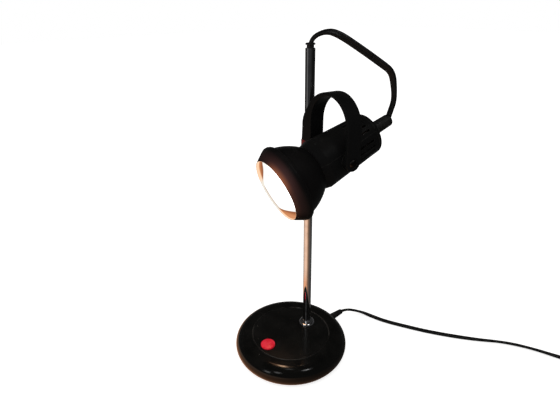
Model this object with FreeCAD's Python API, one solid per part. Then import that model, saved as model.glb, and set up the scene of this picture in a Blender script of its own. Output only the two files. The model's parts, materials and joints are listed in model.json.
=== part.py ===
import FreeCAD, Part
import math
import os

# Tabletop searchlight lamp: a weighted round base with a push button, a chrome pole, and a
# reflector head that tilts in a yoke, which slides and turns on the pole.
# Millimetres, +Z up. The origin is the centre of the base where it stands on the table.
# The button is towards -Y, the pole towards +Y, and the head faces roughly -Y.

V = FreeCAD.Vector
X_AXIS = V(1, 0, 0)
Y_AXIS = V(0, 1, 0)
Z_AXIS = V(0, 0, 1)
ORIGIN = V(0, 0, 0)

# Fits and general allowances
running_clearance = 0.08
part_gap = 0.15
loose_gap = 0.3
overcut = 1.0
round_share = 1 - math.sqrt(0.5)

# Base
base_radius = 70.0
base_height = 25.0
shell_wall = 2.2
shell_lift = 0.8
shell_rim_radius = 60.5
shell_rim_depth = 3.0
ring_line_radius = 48.5
ring_line_width = 0.9
ring_line_depth = 0.5
plate_thickness = 2.0
pad_thickness = 1.2
pad_inset = 2.0
weight_inset = 14.0
weight_thickness = 12.0
weight_edge = 1.5
base_screw_count = 4
base_screw_inset = 27.0
base_screw_radius = 1.9
base_screw_head_radius = 3.4
base_screw_head_height = 1.4
base_screw_slot = 0.8
base_boss_radius = 4.5
base_screw_bite = 4.0
weight_floor = 1.0

# Switch
button_inset = 33.6
button_radius = 8.7
button_rise = 2.8
button_travel = 2.5
button_flange = 1.0
button_flange_height = 1.5
button_wall = 1.4
button_dome = 0.9
button_edge = 0.8
guide_wall = 1.6
switch_length = 20.0
switch_width = 16.0
switch_height = 6.0
switch_wall = 1.5
plunger_radius = 2.2
spring_wire_radius = 0.45
spring_radius = 4.6
spring_turns = 3.5

# Pole and what holds it
pole_radius = 5.0
pole_wall = 1.0
pole_offset = 27.5
pole_tail = 3.0
collar_radius = 10.0
collar_height = 3.6
collar_edge = 2.4
nut_flats = 16.0
nut_height = 5.0
washer_radius = 11.0
washer_thickness = 1.5
grommet_neck_radius = 3.6
grommet_neck_height = 3.0
grommet_flange_radius = 4.9
grommet_flange_height = 1.7
grommet_stem = 8.0
grommet_edge = 0.5

# Leads: flat twin flex, drawn as a round tube of its width
flex_radius = 2.6
entry_depth = 3.0

# Yoke, clamp collar and pivots
rest_swivel = -8.9
rest_tilt = 20.1
head_offset = 43.0
pivot_height = 267.0
arm_gap = 57.0
arm_thickness = 3.5
arm_width = 16.0
arch_rise = 61.0
arch_edge = 0.8
sleeve_lift = 5.9
pole_rise = 96.4
sleeve_radius = 8.0
sleeve_draft = 0.6
sleeve_shoulder = 14.0
sleeve_dome = 13.0
sleeve_dome_bulge = (0.75, 0.62)
sleeve_lip = 0.5
clamp_radius = 8.5
clamp_height = 9.2
clamp_edge = 0.8
thumb_shank_radius = 2.0
thumb_head_radius = 5.0
thumb_head_length = 6.5
thumb_stand_off = 2.0
thumb_flutes = 12
thumb_flute_radius = 0.8
pivot_screw_radius = 2.4
pivot_head_radius = 4.3
pivot_head_height = 1.6
pivot_head_fullness = 0.75
pivot_slot_width = 1.0
pivot_slot_depth = 0.9
bush_radius = 7.0
pad_boss_radius = 8.0
pad_boss_rise = 0.8
pad_boss_root = 1.5
inner_boss_radius = 5.0
inner_boss_length = 5.0

# Head, measured back from the plane of the opening along the head's axis
pivot_station = 70.2
neck_station = 42.5
shoulder_station = 50.5
cap_station = 112.0
tail_station = 116.0
body_neck_radius = 23.3
body_front_radius = 25.6
body_rear_radius = 21.4
body_wall = 1.8
parting_height = 9.0
vent_count = 24
vent_width = 2.2
vent_start = 86.0
vent_length = 20.0
cap_edge = 2.4
cap_spigot_length = 4.0
cap_recess = 1.0
cap_vent_count = 8
cap_vent_width = 2.0
cap_vent_length = 6.0
cap_vent_circle = 14.5
shell_screw_radius = 1.1
shell_screw_head_radius = 2.1
shell_screw_head_height = 1.0
shell_screw_length = 4.0
shell_screw_angles = (-50.0, -130.0)
neck_screw_station = 46.0
cap_screw_station = 109.6
saddle_width = 6.0

# Shade
bell_mouth_radius = 36.7
bell_mouth_station = 16.0
bell_belly_radius = 32.8
bell_belly_station = 28.0
bell_neck_radius = 23.6
bell_wall = 1.2
bell_spigot_length = 6.0
bell_lip_length = 4.5
bell_lip_inset = 0.7
ring_bead_radius = 39.7
ring_bead_station = 12.7
ring_bead_round = 0.7
ring_bead_lead = 2.2
ring_back_station = 15.7
ring_back_radius = 38.9
ring_back_edge = 0.6
ring_back_land = 0.2
ring_cone_radius = 36.3
ring_cone_station = 6.0
opening_radius = 31.9
opening_rim = 0.5
ring_throat = 2.5
ring_wall = 1.4

# Bulb and holder
bulb_apex_station = 4.6
bulb_face_radius = 29.0
bulb_face_sag = 6.0
bulb_radius = 31.2
bulb_corner_inset = 0.5
bulb_corner_rise = 2.2
bulb_belly_swell = 1.2
bulb_wall = 1.0
bulb_widest_station = 15.0
bulb_waist_radius = 20.5
bulb_waist_station = 36.0
bulb_neck_radius = 14.5
bulb_neck_station = 56.0
bulb_cap_station = 79.0
bulb_cap_radius = 13.1
bulb_cap_length = 23.0
bulb_contact_radius = 4.5
bulb_contact_length = 2.5
bulb_thread_pitch = 3.6
bulb_thread_depth = 0.7
bulb_cap_collar = 4.0
bulb_cap_tail = 2.0
bulb_cap_shoulder = 2.0
holder_radius = 17.0
holder_front_station = 80.5
holder_lip = 4.0
holder_back_wall = 2.0
holder_skirt = 1.6
bracket_thickness = 1.0
bracket_width = 6.0
bracket_screw_radius = 0.7
bracket_screw_head_radius = 1.3
bracket_screw_head_height = 0.8
bracket_screw_length = 5.0

# Cable gland at the back of the head
gland_radius = 7.0
gland_end_radius = 6.3
gland_length = 29.0
gland_end_round = 2.2
gland_flange_radius = 9.0
gland_flange_thickness = 1.0
gland_outlet_setback = 3.9
gland_ribs = 4
gland_rib_pitch = 3.6
gland_rib_start = 3.0
gland_rib_depth = 0.7
gland_rib_width = 1.4

# Mains cord
relief_root_radius = 4.8
relief_tip_radius = 3.4
relief_length = 24.0
relief_flange_radius = 5.8
relief_flange_thickness = 1.5
relief_inset = 2.0
coil_mean_radius = 30.0
coil_pitch = 5.6
coil_columns = 3
coil_layers = 3
coil_centre = (292.0, 231.5)
plug_length = 36.0
plug_width = 26.0
plug_thickness = 13.6
plug_edge = 3.0
plug_tail_length = 16.0
plug_shoulder = 1.0
plug_pin_radius = 2.0
plug_pin_length = 19.0
plug_pin_spacing = 18.6

# Values that follow from the sizes above
shell_top_inside = base_height - shell_wall
base_edge_radius = base_height / 2
base_edge_centre = base_radius - base_edge_radius
weight_radius = base_radius - weight_inset
base_screw_circle = base_radius - base_screw_inset
button_offset = base_radius - button_inset
plate_bottom = pad_thickness
plate_top = plate_bottom + plate_thickness
weight_bottom = plate_top + part_gap
weight_top = weight_bottom + weight_thickness
nut_top = shell_top_inside - washer_thickness
nut_bottom = nut_top - nut_height
pole_bottom = nut_bottom - pole_tail
inner_far = head_offset - arm_gap / 2
inner_near = head_offset + arm_gap / 2
arch_inner_radius = arm_gap / 2
arch_top = pivot_height + arch_rise
arch_centre = arch_top - arm_thickness - arch_inner_radius
sleeve_bottom = pivot_height + sleeve_lift
pole_top = pivot_height + pole_rise
lead_foot = pole_top + grommet_neck_height + grommet_flange_height - entry_depth
pad_reach = (
    body_front_radius
    + (body_rear_radius - body_front_radius)
    * (pivot_station - shoulder_station)
    / (cap_station - shoulder_station)
    + pad_boss_rise
)
bush_length = arm_gap / 2 - pad_reach - 2 * part_gap
clamp_top = sleeve_bottom - part_gap
relief_height = plate_top + part_gap + relief_flange_radius
relief_exit = base_radius + relief_length - relief_flange_thickness
gland_end = tail_station + gland_length
gland_outlet = gland_end - gland_outlet_setback
outlet_back = (gland_outlet - pivot_station) * math.cos(math.radians(rest_tilt))
outlet_height = pivot_height + (gland_outlet - pivot_station) * math.sin(math.radians(rest_tilt))

# Cord routes: hand-chosen points on the way of each lead
mains_route = [
    (0.0, relief_exit, relief_height),
    (0.0, relief_exit + 10.5, relief_height),
    (8.0, 114.0, 6.2),
    (23.0, 121.5, 3.4),
    (45.0, 127.5, 2.7),
    (73.0, 142.5, 2.7),
    (99.0, 157.0, 2.7),
    (126.0, 175.0, 2.7),
    (150.0, 192.5, 2.7),
    (172.0, 212.5, 2.7),
    (198.0, 227.5, 2.7),
    (229.0, 240.5, 2.7),
    (256.0, 254.0, 2.7),
    (277.0, 263.5, 2.7),
]
tail_route = [
    (327.4, 231.0, 2.7),
    (328.2, 219.0, 3.2),
    (327.0, 206.0, plug_thickness / 2),
    (327.0, 190.0, plug_thickness / 2),
]
# Points of the head's lead, before the head is swivelled: across, back and up from the pole's foot
lead_route = [
    (0.0, 0.0, lead_foot),
    (0.1, 0.2, lead_foot + 12.3),
    (6.8, 11.4, lead_foot + 15.1),
    (19.0, 28.9, lead_foot + 6.5),
    (29.2, 44.4, lead_foot - 3.8),
    (37.6, 57.6, lead_foot - 13.7),
    (43.1, 66.0, lead_foot - 22.5),
    (45.3, 69.4, lead_foot - 34.1),
    (45.2, 69.9, lead_foot - 47.6),
    (head_offset, outlet_back, outlet_height + 13.2),
    (head_offset, outlet_back, outlet_height + 1.6),
]


def vec(point):
    return V(*point)


def outline(points):
    """Closed wire in the XZ plane. A pair of points is an arc: through the first, to the second."""
    edges = []
    here = points[0]
    for step in points[1:] + [points[0]]:
        is_arc = isinstance(step[0], tuple)
        there = step[1] if is_arc else step
        start = V(here[0], 0, here[1])
        end = V(there[0], 0, there[1])
        if is_arc:
            middle = V(step[0][0], 0, step[0][1])
            edges.append(Part.Arc(start, middle, end).toShape())
        elif (end - start).Length > 1e-7:
            edges.append(Part.LineSegment(start, end).toShape())
        here = there
    return Part.Wire(edges)


def turned(points):
    """Solid of revolution about Z from an outline of (radius, height) points."""
    return Part.Face(outline(points)).revolve(ORIGIN, Z_AXIS, 360)


def disc(radius, low, high, x=0.0, y=0.0):
    return Part.makeCylinder(radius, high - low, V(x, y, low))


def block(low, high):
    size = vec(high) - vec(low)
    return Part.makeBox(size.x, size.y, size.z, vec(low))


def joined(shapes):
    return shapes[0].multiFuse(shapes[1:]).removeSplitter()


def on_circle(count, radius, start=0.0):
    """Evenly spaced (x, y) places on a circle."""
    places = []
    for index in range(count):
        angle = math.radians(start + 360.0 * index / count)
        places.append((radius * math.cos(angle), radius * math.sin(angle)))
    return places


def point_on_arc(centre, radius, degrees):
    """Point of a circle in an outline, at an angle from the outward direction."""
    angle = math.radians(degrees)
    return (centre[0] + radius * math.cos(angle), centre[1] + radius * math.sin(angle))


def place_yoke(shape):
    """From the yoke's own frame, pole axis at the origin, to the lamp's."""
    placed = shape.copy()
    placed.rotate(ORIGIN, Z_AXIS, rest_swivel)
    placed.translate(V(0, pole_offset, 0))
    return placed


def place_head(shape):
    """From the head's own frame, opening at y = 0 and +Y to the back, to the lamp's."""
    placed = shape.copy()
    placed.translate(V(0, -pivot_station, 0))
    placed.rotate(ORIGIN, X_AXIS, rest_tilt)
    placed.translate(V(head_offset, 0, pivot_height))
    return place_yoke(placed)


def turned_head(points):
    """Solid of revolution about the head's axis, from (radius, station) points."""
    shape = turned(points)
    shape.rotate(ORIGIN, X_AXIS, -90)
    return shape


def body_radius_at(station):
    """Outside radius of the housing: a short cone up to the shoulder, and a long one down from it."""
    if station < shoulder_station:
        share = (station - neck_station) / (shoulder_station - neck_station)
        return body_neck_radius + (body_front_radius - body_neck_radius) * share
    share = (station - shoulder_station) / (cap_station - shoulder_station)
    return body_front_radius + (body_rear_radius - body_front_radius) * share


def tube(route, radius):
    """Round tube along straight runs joined by tangent arcs. Returns it, its length and the arc radii."""
    points = [vec(point) for point in route]
    runs = [b - a for a, b in zip(points, points[1:])]
    pieces = []
    radii = []
    length = 0.0
    here = points[0]
    for index, corner in enumerate(points[1:-1]):
        before = V(runs[index]).normalize()
        after = V(runs[index + 1]).normalize()
        turn = before.getAngle(after)
        reach = 0.45 * min(runs[index].Length, runs[index + 1].Length)
        bend = reach / math.tan(turn / 2)
        arc_start = corner - before * reach
        pieces.append(Part.makeCylinder(radius, (arc_start - here).Length, here, before))
        length += (arc_start - here).Length
        axis = before.cross(after).normalize()
        centre = arc_start + axis.cross(before) * bend
        section = Part.Face(Part.Wire(Part.makeCircle(radius, arc_start, before)))
        pieces.append(section.revolve(centre, axis, math.degrees(turn)))
        length += bend * turn
        radii.append(bend)
        here = corner + after * reach
    last = points[-1] - here
    pieces.append(Part.makeCylinder(radius, last.Length, here, last))
    length += last.Length
    return joined(pieces), length, radii


def report_tube(name, solid, length, radii, radius):
    ratio = solid.Volume / (math.pi * radius**2 * length)
    listed = ", ".join("%.1f" % value for value in radii)
    print("%s: %.1f mm long, volume over section times length %.4f" % (name, length, ratio))
    print("  arc radii: " + listed)


# Base


def base_screw_places():
    return on_circle(base_screw_count, base_screw_circle, 180.0 / base_screw_count)


def make_base_shell():
    centre = (base_edge_centre, base_edge_radius)
    outer_low = math.degrees(math.asin((shell_lift - base_edge_radius) / base_edge_radius))
    inner_radius = base_edge_radius - shell_wall
    lip_top = shell_lift + shell_rim_depth
    inner_low = math.degrees(math.asin((lip_top - base_edge_radius) / inner_radius))
    groove_in = ring_line_radius - ring_line_width / 2
    groove_out = ring_line_radius + ring_line_width / 2
    shell = turned([
        (0, base_height),
        (groove_in, base_height),
        (ring_line_radius, base_height - ring_line_depth),
        (groove_out, base_height),
        (base_edge_centre, base_height),
        (
            point_on_arc(centre, base_edge_radius, (90 + outer_low) / 2),
            point_on_arc(centre, base_edge_radius, outer_low),
        ),
        (shell_rim_radius, shell_lift),
        (shell_rim_radius, lip_top),
        point_on_arc(centre, inner_radius, inner_low),
        (
            point_on_arc(centre, inner_radius, (90 + inner_low) / 2),
            point_on_arc(centre, inner_radius, 90),
        ),
        (0, shell_top_inside),
    ])
    bosses = []
    pilots = []
    for x, y in base_screw_places():
        bosses.append(disc(base_boss_radius, weight_top + part_gap, base_height - shell_wall / 2, x, y))
        pilots.append(disc(base_screw_radius + running_clearance, weight_top, shell_top_inside, x, y))
    shell = joined([shell] + bosses)
    cuts = pilots
    cuts.append(disc(pole_radius + part_gap, 0, base_height, 0, pole_offset))
    cuts.append(disc(button_radius + loose_gap, 0, base_height, 0, -button_offset))
    outlet = Part.makeCylinder(relief_root_radius + part_gap, base_radius, V(0, 0, relief_height), Y_AXIS)
    inside = block((-base_radius, 0, 0), (base_radius, shell_rim_radius - relief_inset / 2, base_height))
    cuts.append(outlet.cut(inside))
    return shell.cut(Part.makeCompound(cuts))


def countersink(x, y, clearance):
    """Cone of a base screw's head, wide end down, at the underside of the plate."""
    wide = base_screw_head_radius + clearance
    narrow = base_screw_radius + clearance
    return Part.makeCone(wide, narrow, base_screw_head_height, V(x, y, plate_bottom))


def make_base_plate():
    plate = disc(shell_rim_radius - loose_gap, plate_bottom, plate_top)
    for x, y in base_screw_places():
        plate = plate.cut(disc(base_screw_radius + loose_gap, plate_bottom, plate_top, x, y))
        plate = plate.cut(countersink(x, y, running_clearance))
    return plate


def make_base_pad():
    return disc(shell_rim_radius - pad_inset, 0, pad_thickness)


def make_base_weight():
    weight = turned([
        (0, weight_bottom),
        (weight_radius - weight_edge, weight_bottom),
        (weight_radius, weight_bottom + weight_edge),
        (weight_radius, weight_top - weight_edge),
        (weight_radius - weight_edge, weight_top),
        (0, weight_top),
    ])
    pocket = 2 * loose_gap
    half_length = switch_length / 2 + pocket
    half_width = max(switch_width / 2, button_radius + button_flange + guide_wall) + 2 * pocket
    switch_floor = weight_bottom + weight_floor
    cuts = [
        block(
            (-half_length - guide_wall, -button_offset - half_width, switch_floor),
            (half_length + guide_wall, -button_offset + half_width, weight_top),
        ),
        disc(washer_radius + pocket, weight_bottom, weight_top, 0, pole_offset),
        block(
            (-flex_radius - pocket, -button_offset, switch_floor),
            (flex_radius + pocket, weight_radius, weight_top),
        ),
    ]
    for x, y in base_screw_places():
        cuts.append(disc(base_screw_radius + loose_gap, weight_bottom, weight_top, x, y))
    return weight.cut(Part.makeCompound(cuts))


def make_base_screws():
    screws = []
    for x, y in base_screw_places():
        head = countersink(x, y, 0)
        shank = disc(base_screw_radius, plate_bottom, weight_top + base_screw_bite, x, y)
        slot = block(
            (x - base_screw_head_radius, y - base_screw_slot / 2, plate_bottom),
            (x + base_screw_head_radius, y + base_screw_slot / 2, plate_bottom + base_screw_slot),
        )
        screws.append(head.fuse(shank).removeSplitter().cut(slot))
    return Part.makeCompound(screws)


# Switch

switch_top = weight_bottom + weight_floor + part_gap + switch_height
flange_top = shell_top_inside - part_gap
flange_bottom = flange_top - button_flange_height
guide_radius = button_radius + button_flange + loose_gap


def make_switch_button():
    top = base_height + button_rise
    inner = button_radius - button_wall
    roof = top - button_dome - button_wall
    edge_height = top - button_dome - button_edge
    button = turned([
        (0, top),
        ((button_radius / 2, top - button_dome / 4), (button_radius - button_edge, top - button_dome)),
        (
            (button_radius - round_share * button_edge, top - button_dome - round_share * button_edge),
            (button_radius, edge_height),
        ),
        (button_radius, flange_top),
        (button_radius + button_flange, flange_top),
        (button_radius + button_flange, flange_bottom),
        (inner, flange_bottom),
        (inner, roof),
        (plunger_radius, roof),
        (plunger_radius, switch_top + button_travel + part_gap),
        (0, switch_top + button_travel + part_gap),
    ])
    button.translate(V(0, -button_offset, 0))
    return button


def make_switch_guide():
    guide = disc(guide_radius + guide_wall, switch_top, flange_top, 0, -button_offset)
    return guide.cut(disc(guide_radius, switch_top, flange_top, 0, -button_offset))


def make_switch_body():
    bottom = switch_top - switch_height
    half_length = switch_length / 2
    half_width = switch_width / 2
    body = block(
        (-half_length, -button_offset - half_width, bottom),
        (half_length, -button_offset + half_width, switch_top),
    )
    seat = disc(guide_radius + guide_wall, switch_top - switch_wall, switch_top, 0, -button_offset)
    body = joined([body, seat])
    well = disc(plunger_radius + loose_gap, bottom + switch_wall, switch_top, 0, -button_offset)
    return body.cut(well)


def make_switch_spring():
    top = base_height + button_rise - button_dome - button_wall
    low = switch_top + spring_wire_radius + part_gap
    high = top - spring_wire_radius - part_gap
    pitch = (high - low) / spring_turns
    path = Part.makeHelix(pitch, high - low, spring_radius)
    section = Part.Wire(Part.makeCircle(spring_wire_radius, V(spring_radius, 0, 0), Y_AXIS))
    spring = Part.Wire(path).makePipeShell([section], True, True)
    spring.translate(V(0, -button_offset, low))
    return spring


# Pole


def make_pole():
    pole = disc(pole_radius, pole_bottom, pole_top, 0, pole_offset)
    return pole.cut(disc(pole_radius - pole_wall, pole_bottom, pole_top, 0, pole_offset))


def make_pole_collar():
    bore = pole_radius + part_gap
    top = base_height + collar_height
    collar = turned([
        (bore, base_height),
        (collar_radius, base_height),
        (collar_radius, top - collar_edge),
        (
            (collar_radius - round_share * collar_edge, top - round_share * collar_edge),
            (collar_radius - collar_edge, top),
        ),
        (bore, top),
    ])
    collar.translate(V(0, pole_offset, 0))
    return collar


def make_pole_washer():
    washer = disc(washer_radius, nut_top, shell_top_inside, 0, pole_offset)
    return washer.cut(disc(pole_radius + part_gap, nut_top, shell_top_inside, 0, pole_offset))


def make_pole_nut():
    corners = on_circle(6, nut_flats / math.sqrt(3), 30)
    loop = [V(x, y + pole_offset, nut_bottom) for x, y in corners]
    nut = Part.Face(Part.makePolygon(loop + [loop[0]])).extrude(V(0, 0, nut_height))
    return nut.cut(disc(pole_radius + running_clearance, nut_bottom, nut_top, 0, pole_offset))


def make_pole_grommet():
    stem = pole_radius - pole_wall - running_clearance
    neck_top = pole_top + grommet_neck_height
    flange_high = neck_top + grommet_flange_height
    bore = flex_radius + loose_gap
    low = pole_top - grommet_stem
    grommet = turned([
        (bore, low),
        (stem, low),
        (stem, pole_top + part_gap),
        (grommet_neck_radius, pole_top + 2 * part_gap),
        (grommet_neck_radius, neck_top),
        (grommet_flange_radius, neck_top),
        (grommet_flange_radius, flange_high - grommet_edge),
        (grommet_flange_radius - grommet_edge, flange_high),
        (bore, flange_high),
    ])
    return place_yoke(grommet)


# Yoke and clamp


def make_yoke():
    quarter = math.sqrt(0.5)
    outer_near = inner_near + arm_thickness
    outer_far = inner_far - arm_thickness
    foot = pivot_height - arm_width / 2
    near_radius = arch_inner_radius + arm_thickness
    shoulder_centre = arch_top - head_offset
    profile = outline([
        (inner_far, foot),
        (inner_far, arch_centre),
        ((head_offset, arch_centre + arch_inner_radius), (inner_near, arch_centre)),
        (inner_near, foot),
        (outer_near, foot),
        (outer_near, arch_centre),
        (
            (head_offset + near_radius * quarter, arch_centre + near_radius * quarter),
            (head_offset, arch_top),
        ),
        (
            (head_offset - head_offset * quarter, shoulder_centre + head_offset * quarter),
            (0, shoulder_centre),
        ),
        (0, sleeve_bottom),
        (outer_far, sleeve_bottom),
        (outer_far, foot),
    ])
    band = Part.Face(profile).extrude(V(0, arm_width, 0))
    band.translate(V(0, -arm_width / 2, 0))
    reach = outer_near + sleeve_radius
    rounded = Part.makeCylinder(arm_width / 2, 2 * reach, V(-reach, 0, pivot_height), X_AXIS)
    upright = block((-reach, -arm_width / 2, pivot_height), (reach, arm_width / 2, arch_top))
    band = band.common(joined([rounded, upright]))
    rims = []
    for edge in band.Edges:
        box = edge.BoundBox
        on_side = abs(abs(box.YMin) - arm_width / 2) < 1e-4 and box.YLength < 1e-4
        if on_side and box.ZMin > arch_centre - 1e-3 and box.XMin > inner_far - 1e-3:
            rims.append(edge)
    if rims:
        band = band.makeFillet(arch_edge, rims)
    shoulder = sleeve_bottom + sleeve_shoulder
    sleeve_end = shoulder + sleeve_dome
    narrowed = sleeve_radius - sleeve_draft
    bulge_in, bulge_up = sleeve_dome_bulge
    sleeve = turned([
        (0, sleeve_bottom),
        (sleeve_radius, sleeve_bottom),
        (narrowed, shoulder),
        (
            (pole_radius + bulge_in * (narrowed - pole_radius), shoulder + bulge_up * sleeve_dome),
            (pole_radius + sleeve_lip, sleeve_end),
        ),
        (0, sleeve_end),
    ])
    yoke = joined([band, sleeve])
    bore = disc(pole_radius + running_clearance, sleeve_bottom, arch_top)
    hole = pivot_screw_radius + running_clearance
    pivot = Part.makeCylinder(hole, 2 * reach, V(-reach, 0, pivot_height), X_AXIS)
    return place_yoke(yoke.cut(bore).cut(pivot))


def make_clamp_collar():
    low = clamp_top - clamp_height
    collar = turned([
        (pole_radius + running_clearance, low),
        (clamp_radius - clamp_edge, low),
        (clamp_radius, low + clamp_edge),
        (clamp_radius, clamp_top - clamp_edge),
        (clamp_radius - clamp_edge, clamp_top),
        (pole_radius + running_clearance, clamp_top),
    ])
    middle = clamp_top - clamp_height / 2
    thread = Part.makeCylinder(thumb_shank_radius + running_clearance, base_radius, V(0, 0, middle), Y_AXIS)
    return place_yoke(collar.cut(thread))


def make_clamp_thumbscrew():
    middle = clamp_top - clamp_height / 2
    start = pole_radius + part_gap
    head_start = clamp_radius + thumb_stand_off
    shank = Part.makeCylinder(thumb_shank_radius, head_start - start, V(0, start, middle), Y_AXIS)
    head = Part.makeCylinder(thumb_head_radius, thumb_head_length, V(0, head_start, middle), Y_AXIS)
    flutes = []
    for x, z in on_circle(thumb_flutes, thumb_head_radius + thumb_flute_radius / 2):
        foot = V(x, head_start, middle + z)
        flutes.append(Part.makeCylinder(thumb_flute_radius, thumb_head_length, foot, Y_AXIS))
    head = head.cut(Part.makeCompound(flutes))
    return place_yoke(joined([shank, head]))


def pivot_piece(side, shape):
    """A pivot piece drawn on the near side, x outward from the head's axis, set on either side."""
    placed = shape.copy()
    if side < 0:
        placed.rotate(ORIGIN, Z_AXIS, 180)
    placed.translate(V(head_offset, 0, pivot_height))
    return place_yoke(placed)


def make_pivot_screw(side):
    inner_end = pad_reach - pad_boss_rise - body_wall - inner_boss_length + part_gap
    shoulder = arm_gap / 2 + arm_thickness + part_gap / 2
    shank = Part.makeCylinder(pivot_screw_radius, shoulder - inner_end, V(inner_end, 0, 0), X_AXIS)
    head = turned([
        (0, 0),
        (pivot_head_radius, 0),
        (
            (pivot_head_fullness * pivot_head_radius, pivot_head_fullness * pivot_head_height),
            (0, pivot_head_height),
        ),
    ])
    head.rotate(ORIGIN, Y_AXIS, 90)
    head.translate(V(shoulder, 0, 0))
    half = pivot_slot_width / 2
    slot = block(
        (shoulder + pivot_head_height - pivot_slot_depth, -pivot_head_radius, -half),
        (shoulder + pivot_head_height, pivot_head_radius, half),
    )
    return pivot_piece(side, joined([shank, head]).cut(slot))


def make_pivot_bush(side):
    start = pad_reach + part_gap
    bush = Part.makeCylinder(bush_radius, bush_length, V(start, 0, 0), X_AXIS)
    hole = Part.makeCylinder(pivot_screw_radius + running_clearance, bush_length, V(start, 0, 0), X_AXIS)
    return pivot_piece(side, bush.cut(hole))


# Head housing


def make_housing():
    front = body_front_radius
    rear = body_rear_radius
    shell = turned_head([
        (body_neck_radius, neck_station),
        (front, shoulder_station),
        (rear, cap_station),
        (rear - body_wall, cap_station),
        (front - body_wall, shoulder_station),
        (body_neck_radius - body_wall, neck_station),
    ])
    extras = []
    holes = []
    for side in (-1, 1):
        wall_inside = pad_reach - pad_boss_rise - body_wall
        inner = wall_inside - inner_boss_length
        direction = X_AXIS * side
        pad_start = V(side * (wall_inside - pad_boss_root), pivot_station, 0)
        pad_length = pad_boss_root + body_wall + pad_boss_rise
        pad = Part.makeCylinder(pad_boss_radius, pad_length, pad_start, direction)
        start = V(side * inner, pivot_station, 0)
        boss = Part.makeCylinder(inner_boss_radius, pad_reach - inner, start, direction)
        extras += [pad.common(make_housing_core()), boss]
        hole = Part.makeCylinder(pivot_screw_radius + running_clearance, pad_reach - inner, start, direction)
        holes.append(hole)
    for place in (neck_screw_station, cap_screw_station):
        holes += [radial_screw(place, angle, running_clearance) for angle in shell_screw_angles]
    housing = joined([shell.cut(Part.makeCompound(vent_slots()))] + extras + [holder_saddle()])
    return housing.cut(Part.makeCompound(holes + bracket_holes()))


def make_housing_core():
    """Room that the pivot pads may fill: outside of the bulb's space."""
    outer = pad_reach + overcut
    hollow = body_rear_radius - body_wall
    ring = turned_head([
        (hollow, neck_station),
        (outer, neck_station),
        (outer, cap_station),
        (hollow, cap_station),
    ])
    return ring


def radial_screw(station, angle, clearance):
    """Small countersunk screw through the housing wall, pointing at the head's axis."""
    outer = body_radius_at(station)
    head_end = outer - shell_screw_head_height
    wide = shell_screw_head_radius + clearance
    narrow = shell_screw_radius + clearance
    inward = V(-1, 0, 0)
    head = Part.makeCone(wide, narrow, shell_screw_head_height, V(outer, station, 0), inward)
    length = shell_screw_length - shell_screw_head_height
    shank = Part.makeCylinder(narrow, length, V(head_end, station, 0), inward)
    screw = head.fuse(shank)
    if clearance:
        screw = screw.fuse(Part.makeCylinder(wide, overcut, V(outer, station, 0), X_AXIS))
    screw.rotate(ORIGIN, Y_AXIS, -angle)
    return screw.removeSplitter()


def make_shell_screws(station):
    screws = [radial_screw(station, angle, 0) for angle in shell_screw_angles]
    return place_head(Part.makeCompound(screws))


def holder_middle():
    return (holder_front_station + holder_lip + holder_back()) / 2


def holder_saddle():
    """Rib in the tray that the lamp holder lies in, and that its bracket is screwed to."""
    start = holder_middle() - saddle_width / 2
    rib = turned_head([
        (holder_radius + part_gap, start),
        (body_radius_at(start) - body_wall / 2, start),
        (body_radius_at(start + saddle_width) - body_wall / 2, start + saddle_width),
        (holder_radius + part_gap, start + saddle_width),
    ])
    wide = body_front_radius
    return rib.common(block((-wide, 0, -wide), (wide, tail_station, -part_gap)))


def bracket_screw_offset():
    wall = body_radius_at(holder_middle()) - body_wall
    return (holder_radius + bracket_thickness + wall) / 2


def bracket_holes():
    holes = []
    radius = bracket_screw_radius + running_clearance
    low = -bracket_screw_length - part_gap
    for side in (-1, 1):
        x = side * bracket_screw_offset()
        holes.append(disc(radius, low, bracket_thickness, x, holder_middle()))
    return holes


def vent_slots():
    """Longitudinal cooling slots round the rear of the housing, none beside the parting line."""
    slots = []
    for index in range(vent_count):
        angle = 360.0 * (index + 0.5) / vent_count
        height = body_rear_radius * math.sin(math.radians(angle))
        if abs(height - parting_height) < vent_width:
            continue
        slot = block(
            (body_rear_radius - 2 * body_wall, vent_start, -vent_width / 2),
            (body_front_radius + overcut, vent_start + vent_length, vent_width / 2),
        )
        slot.rotate(ORIGIN, Y_AXIS, -angle)
        slots.append(slot)
    return slots


def housing_half(upper):
    wide = 2 * body_front_radius
    if upper:
        keep = block((-wide, 0, parting_height + part_gap / 2), (wide, tail_station, wide))
    else:
        keep = block((-wide, 0, -wide), (wide, tail_station, parting_height - part_gap / 2))
    return place_head(make_housing().common(keep))


def make_rear_cap():
    inner = body_rear_radius - body_wall - part_gap
    start = cap_station + part_gap
    cap = turned_head([
        (0, tail_station),
        (body_rear_radius - cap_edge, tail_station),
        (
            (body_rear_radius - round_share * cap_edge, tail_station - round_share * cap_edge),
            (body_rear_radius, tail_station - cap_edge),
        ),
        (body_rear_radius, start),
        (inner, start),
        (inner, start - cap_spigot_length),
        (inner - body_wall, start - cap_spigot_length),
        (inner - body_wall, start + cap_recess),
        (0, start + cap_recess),
    ])
    cuts = [Part.makeCylinder(gland_radius + part_gap, tail_station, V(0, 0, 0), Y_AXIS)]
    cuts += [radial_screw(cap_screw_station, angle, running_clearance) for angle in shell_screw_angles]
    for index in range(cap_vent_count):
        slot = block(
            (cap_vent_circle - cap_vent_length / 2, start, -cap_vent_width / 2),
            (cap_vent_circle + cap_vent_length / 2, tail_station, cap_vent_width / 2),
        )
        slot.rotate(ORIGIN, Y_AXIS, 360.0 * (index + 0.5) / cap_vent_count)
        cuts.append(slot)
    return place_head(cap.cut(Part.makeCompound(cuts)))


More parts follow.
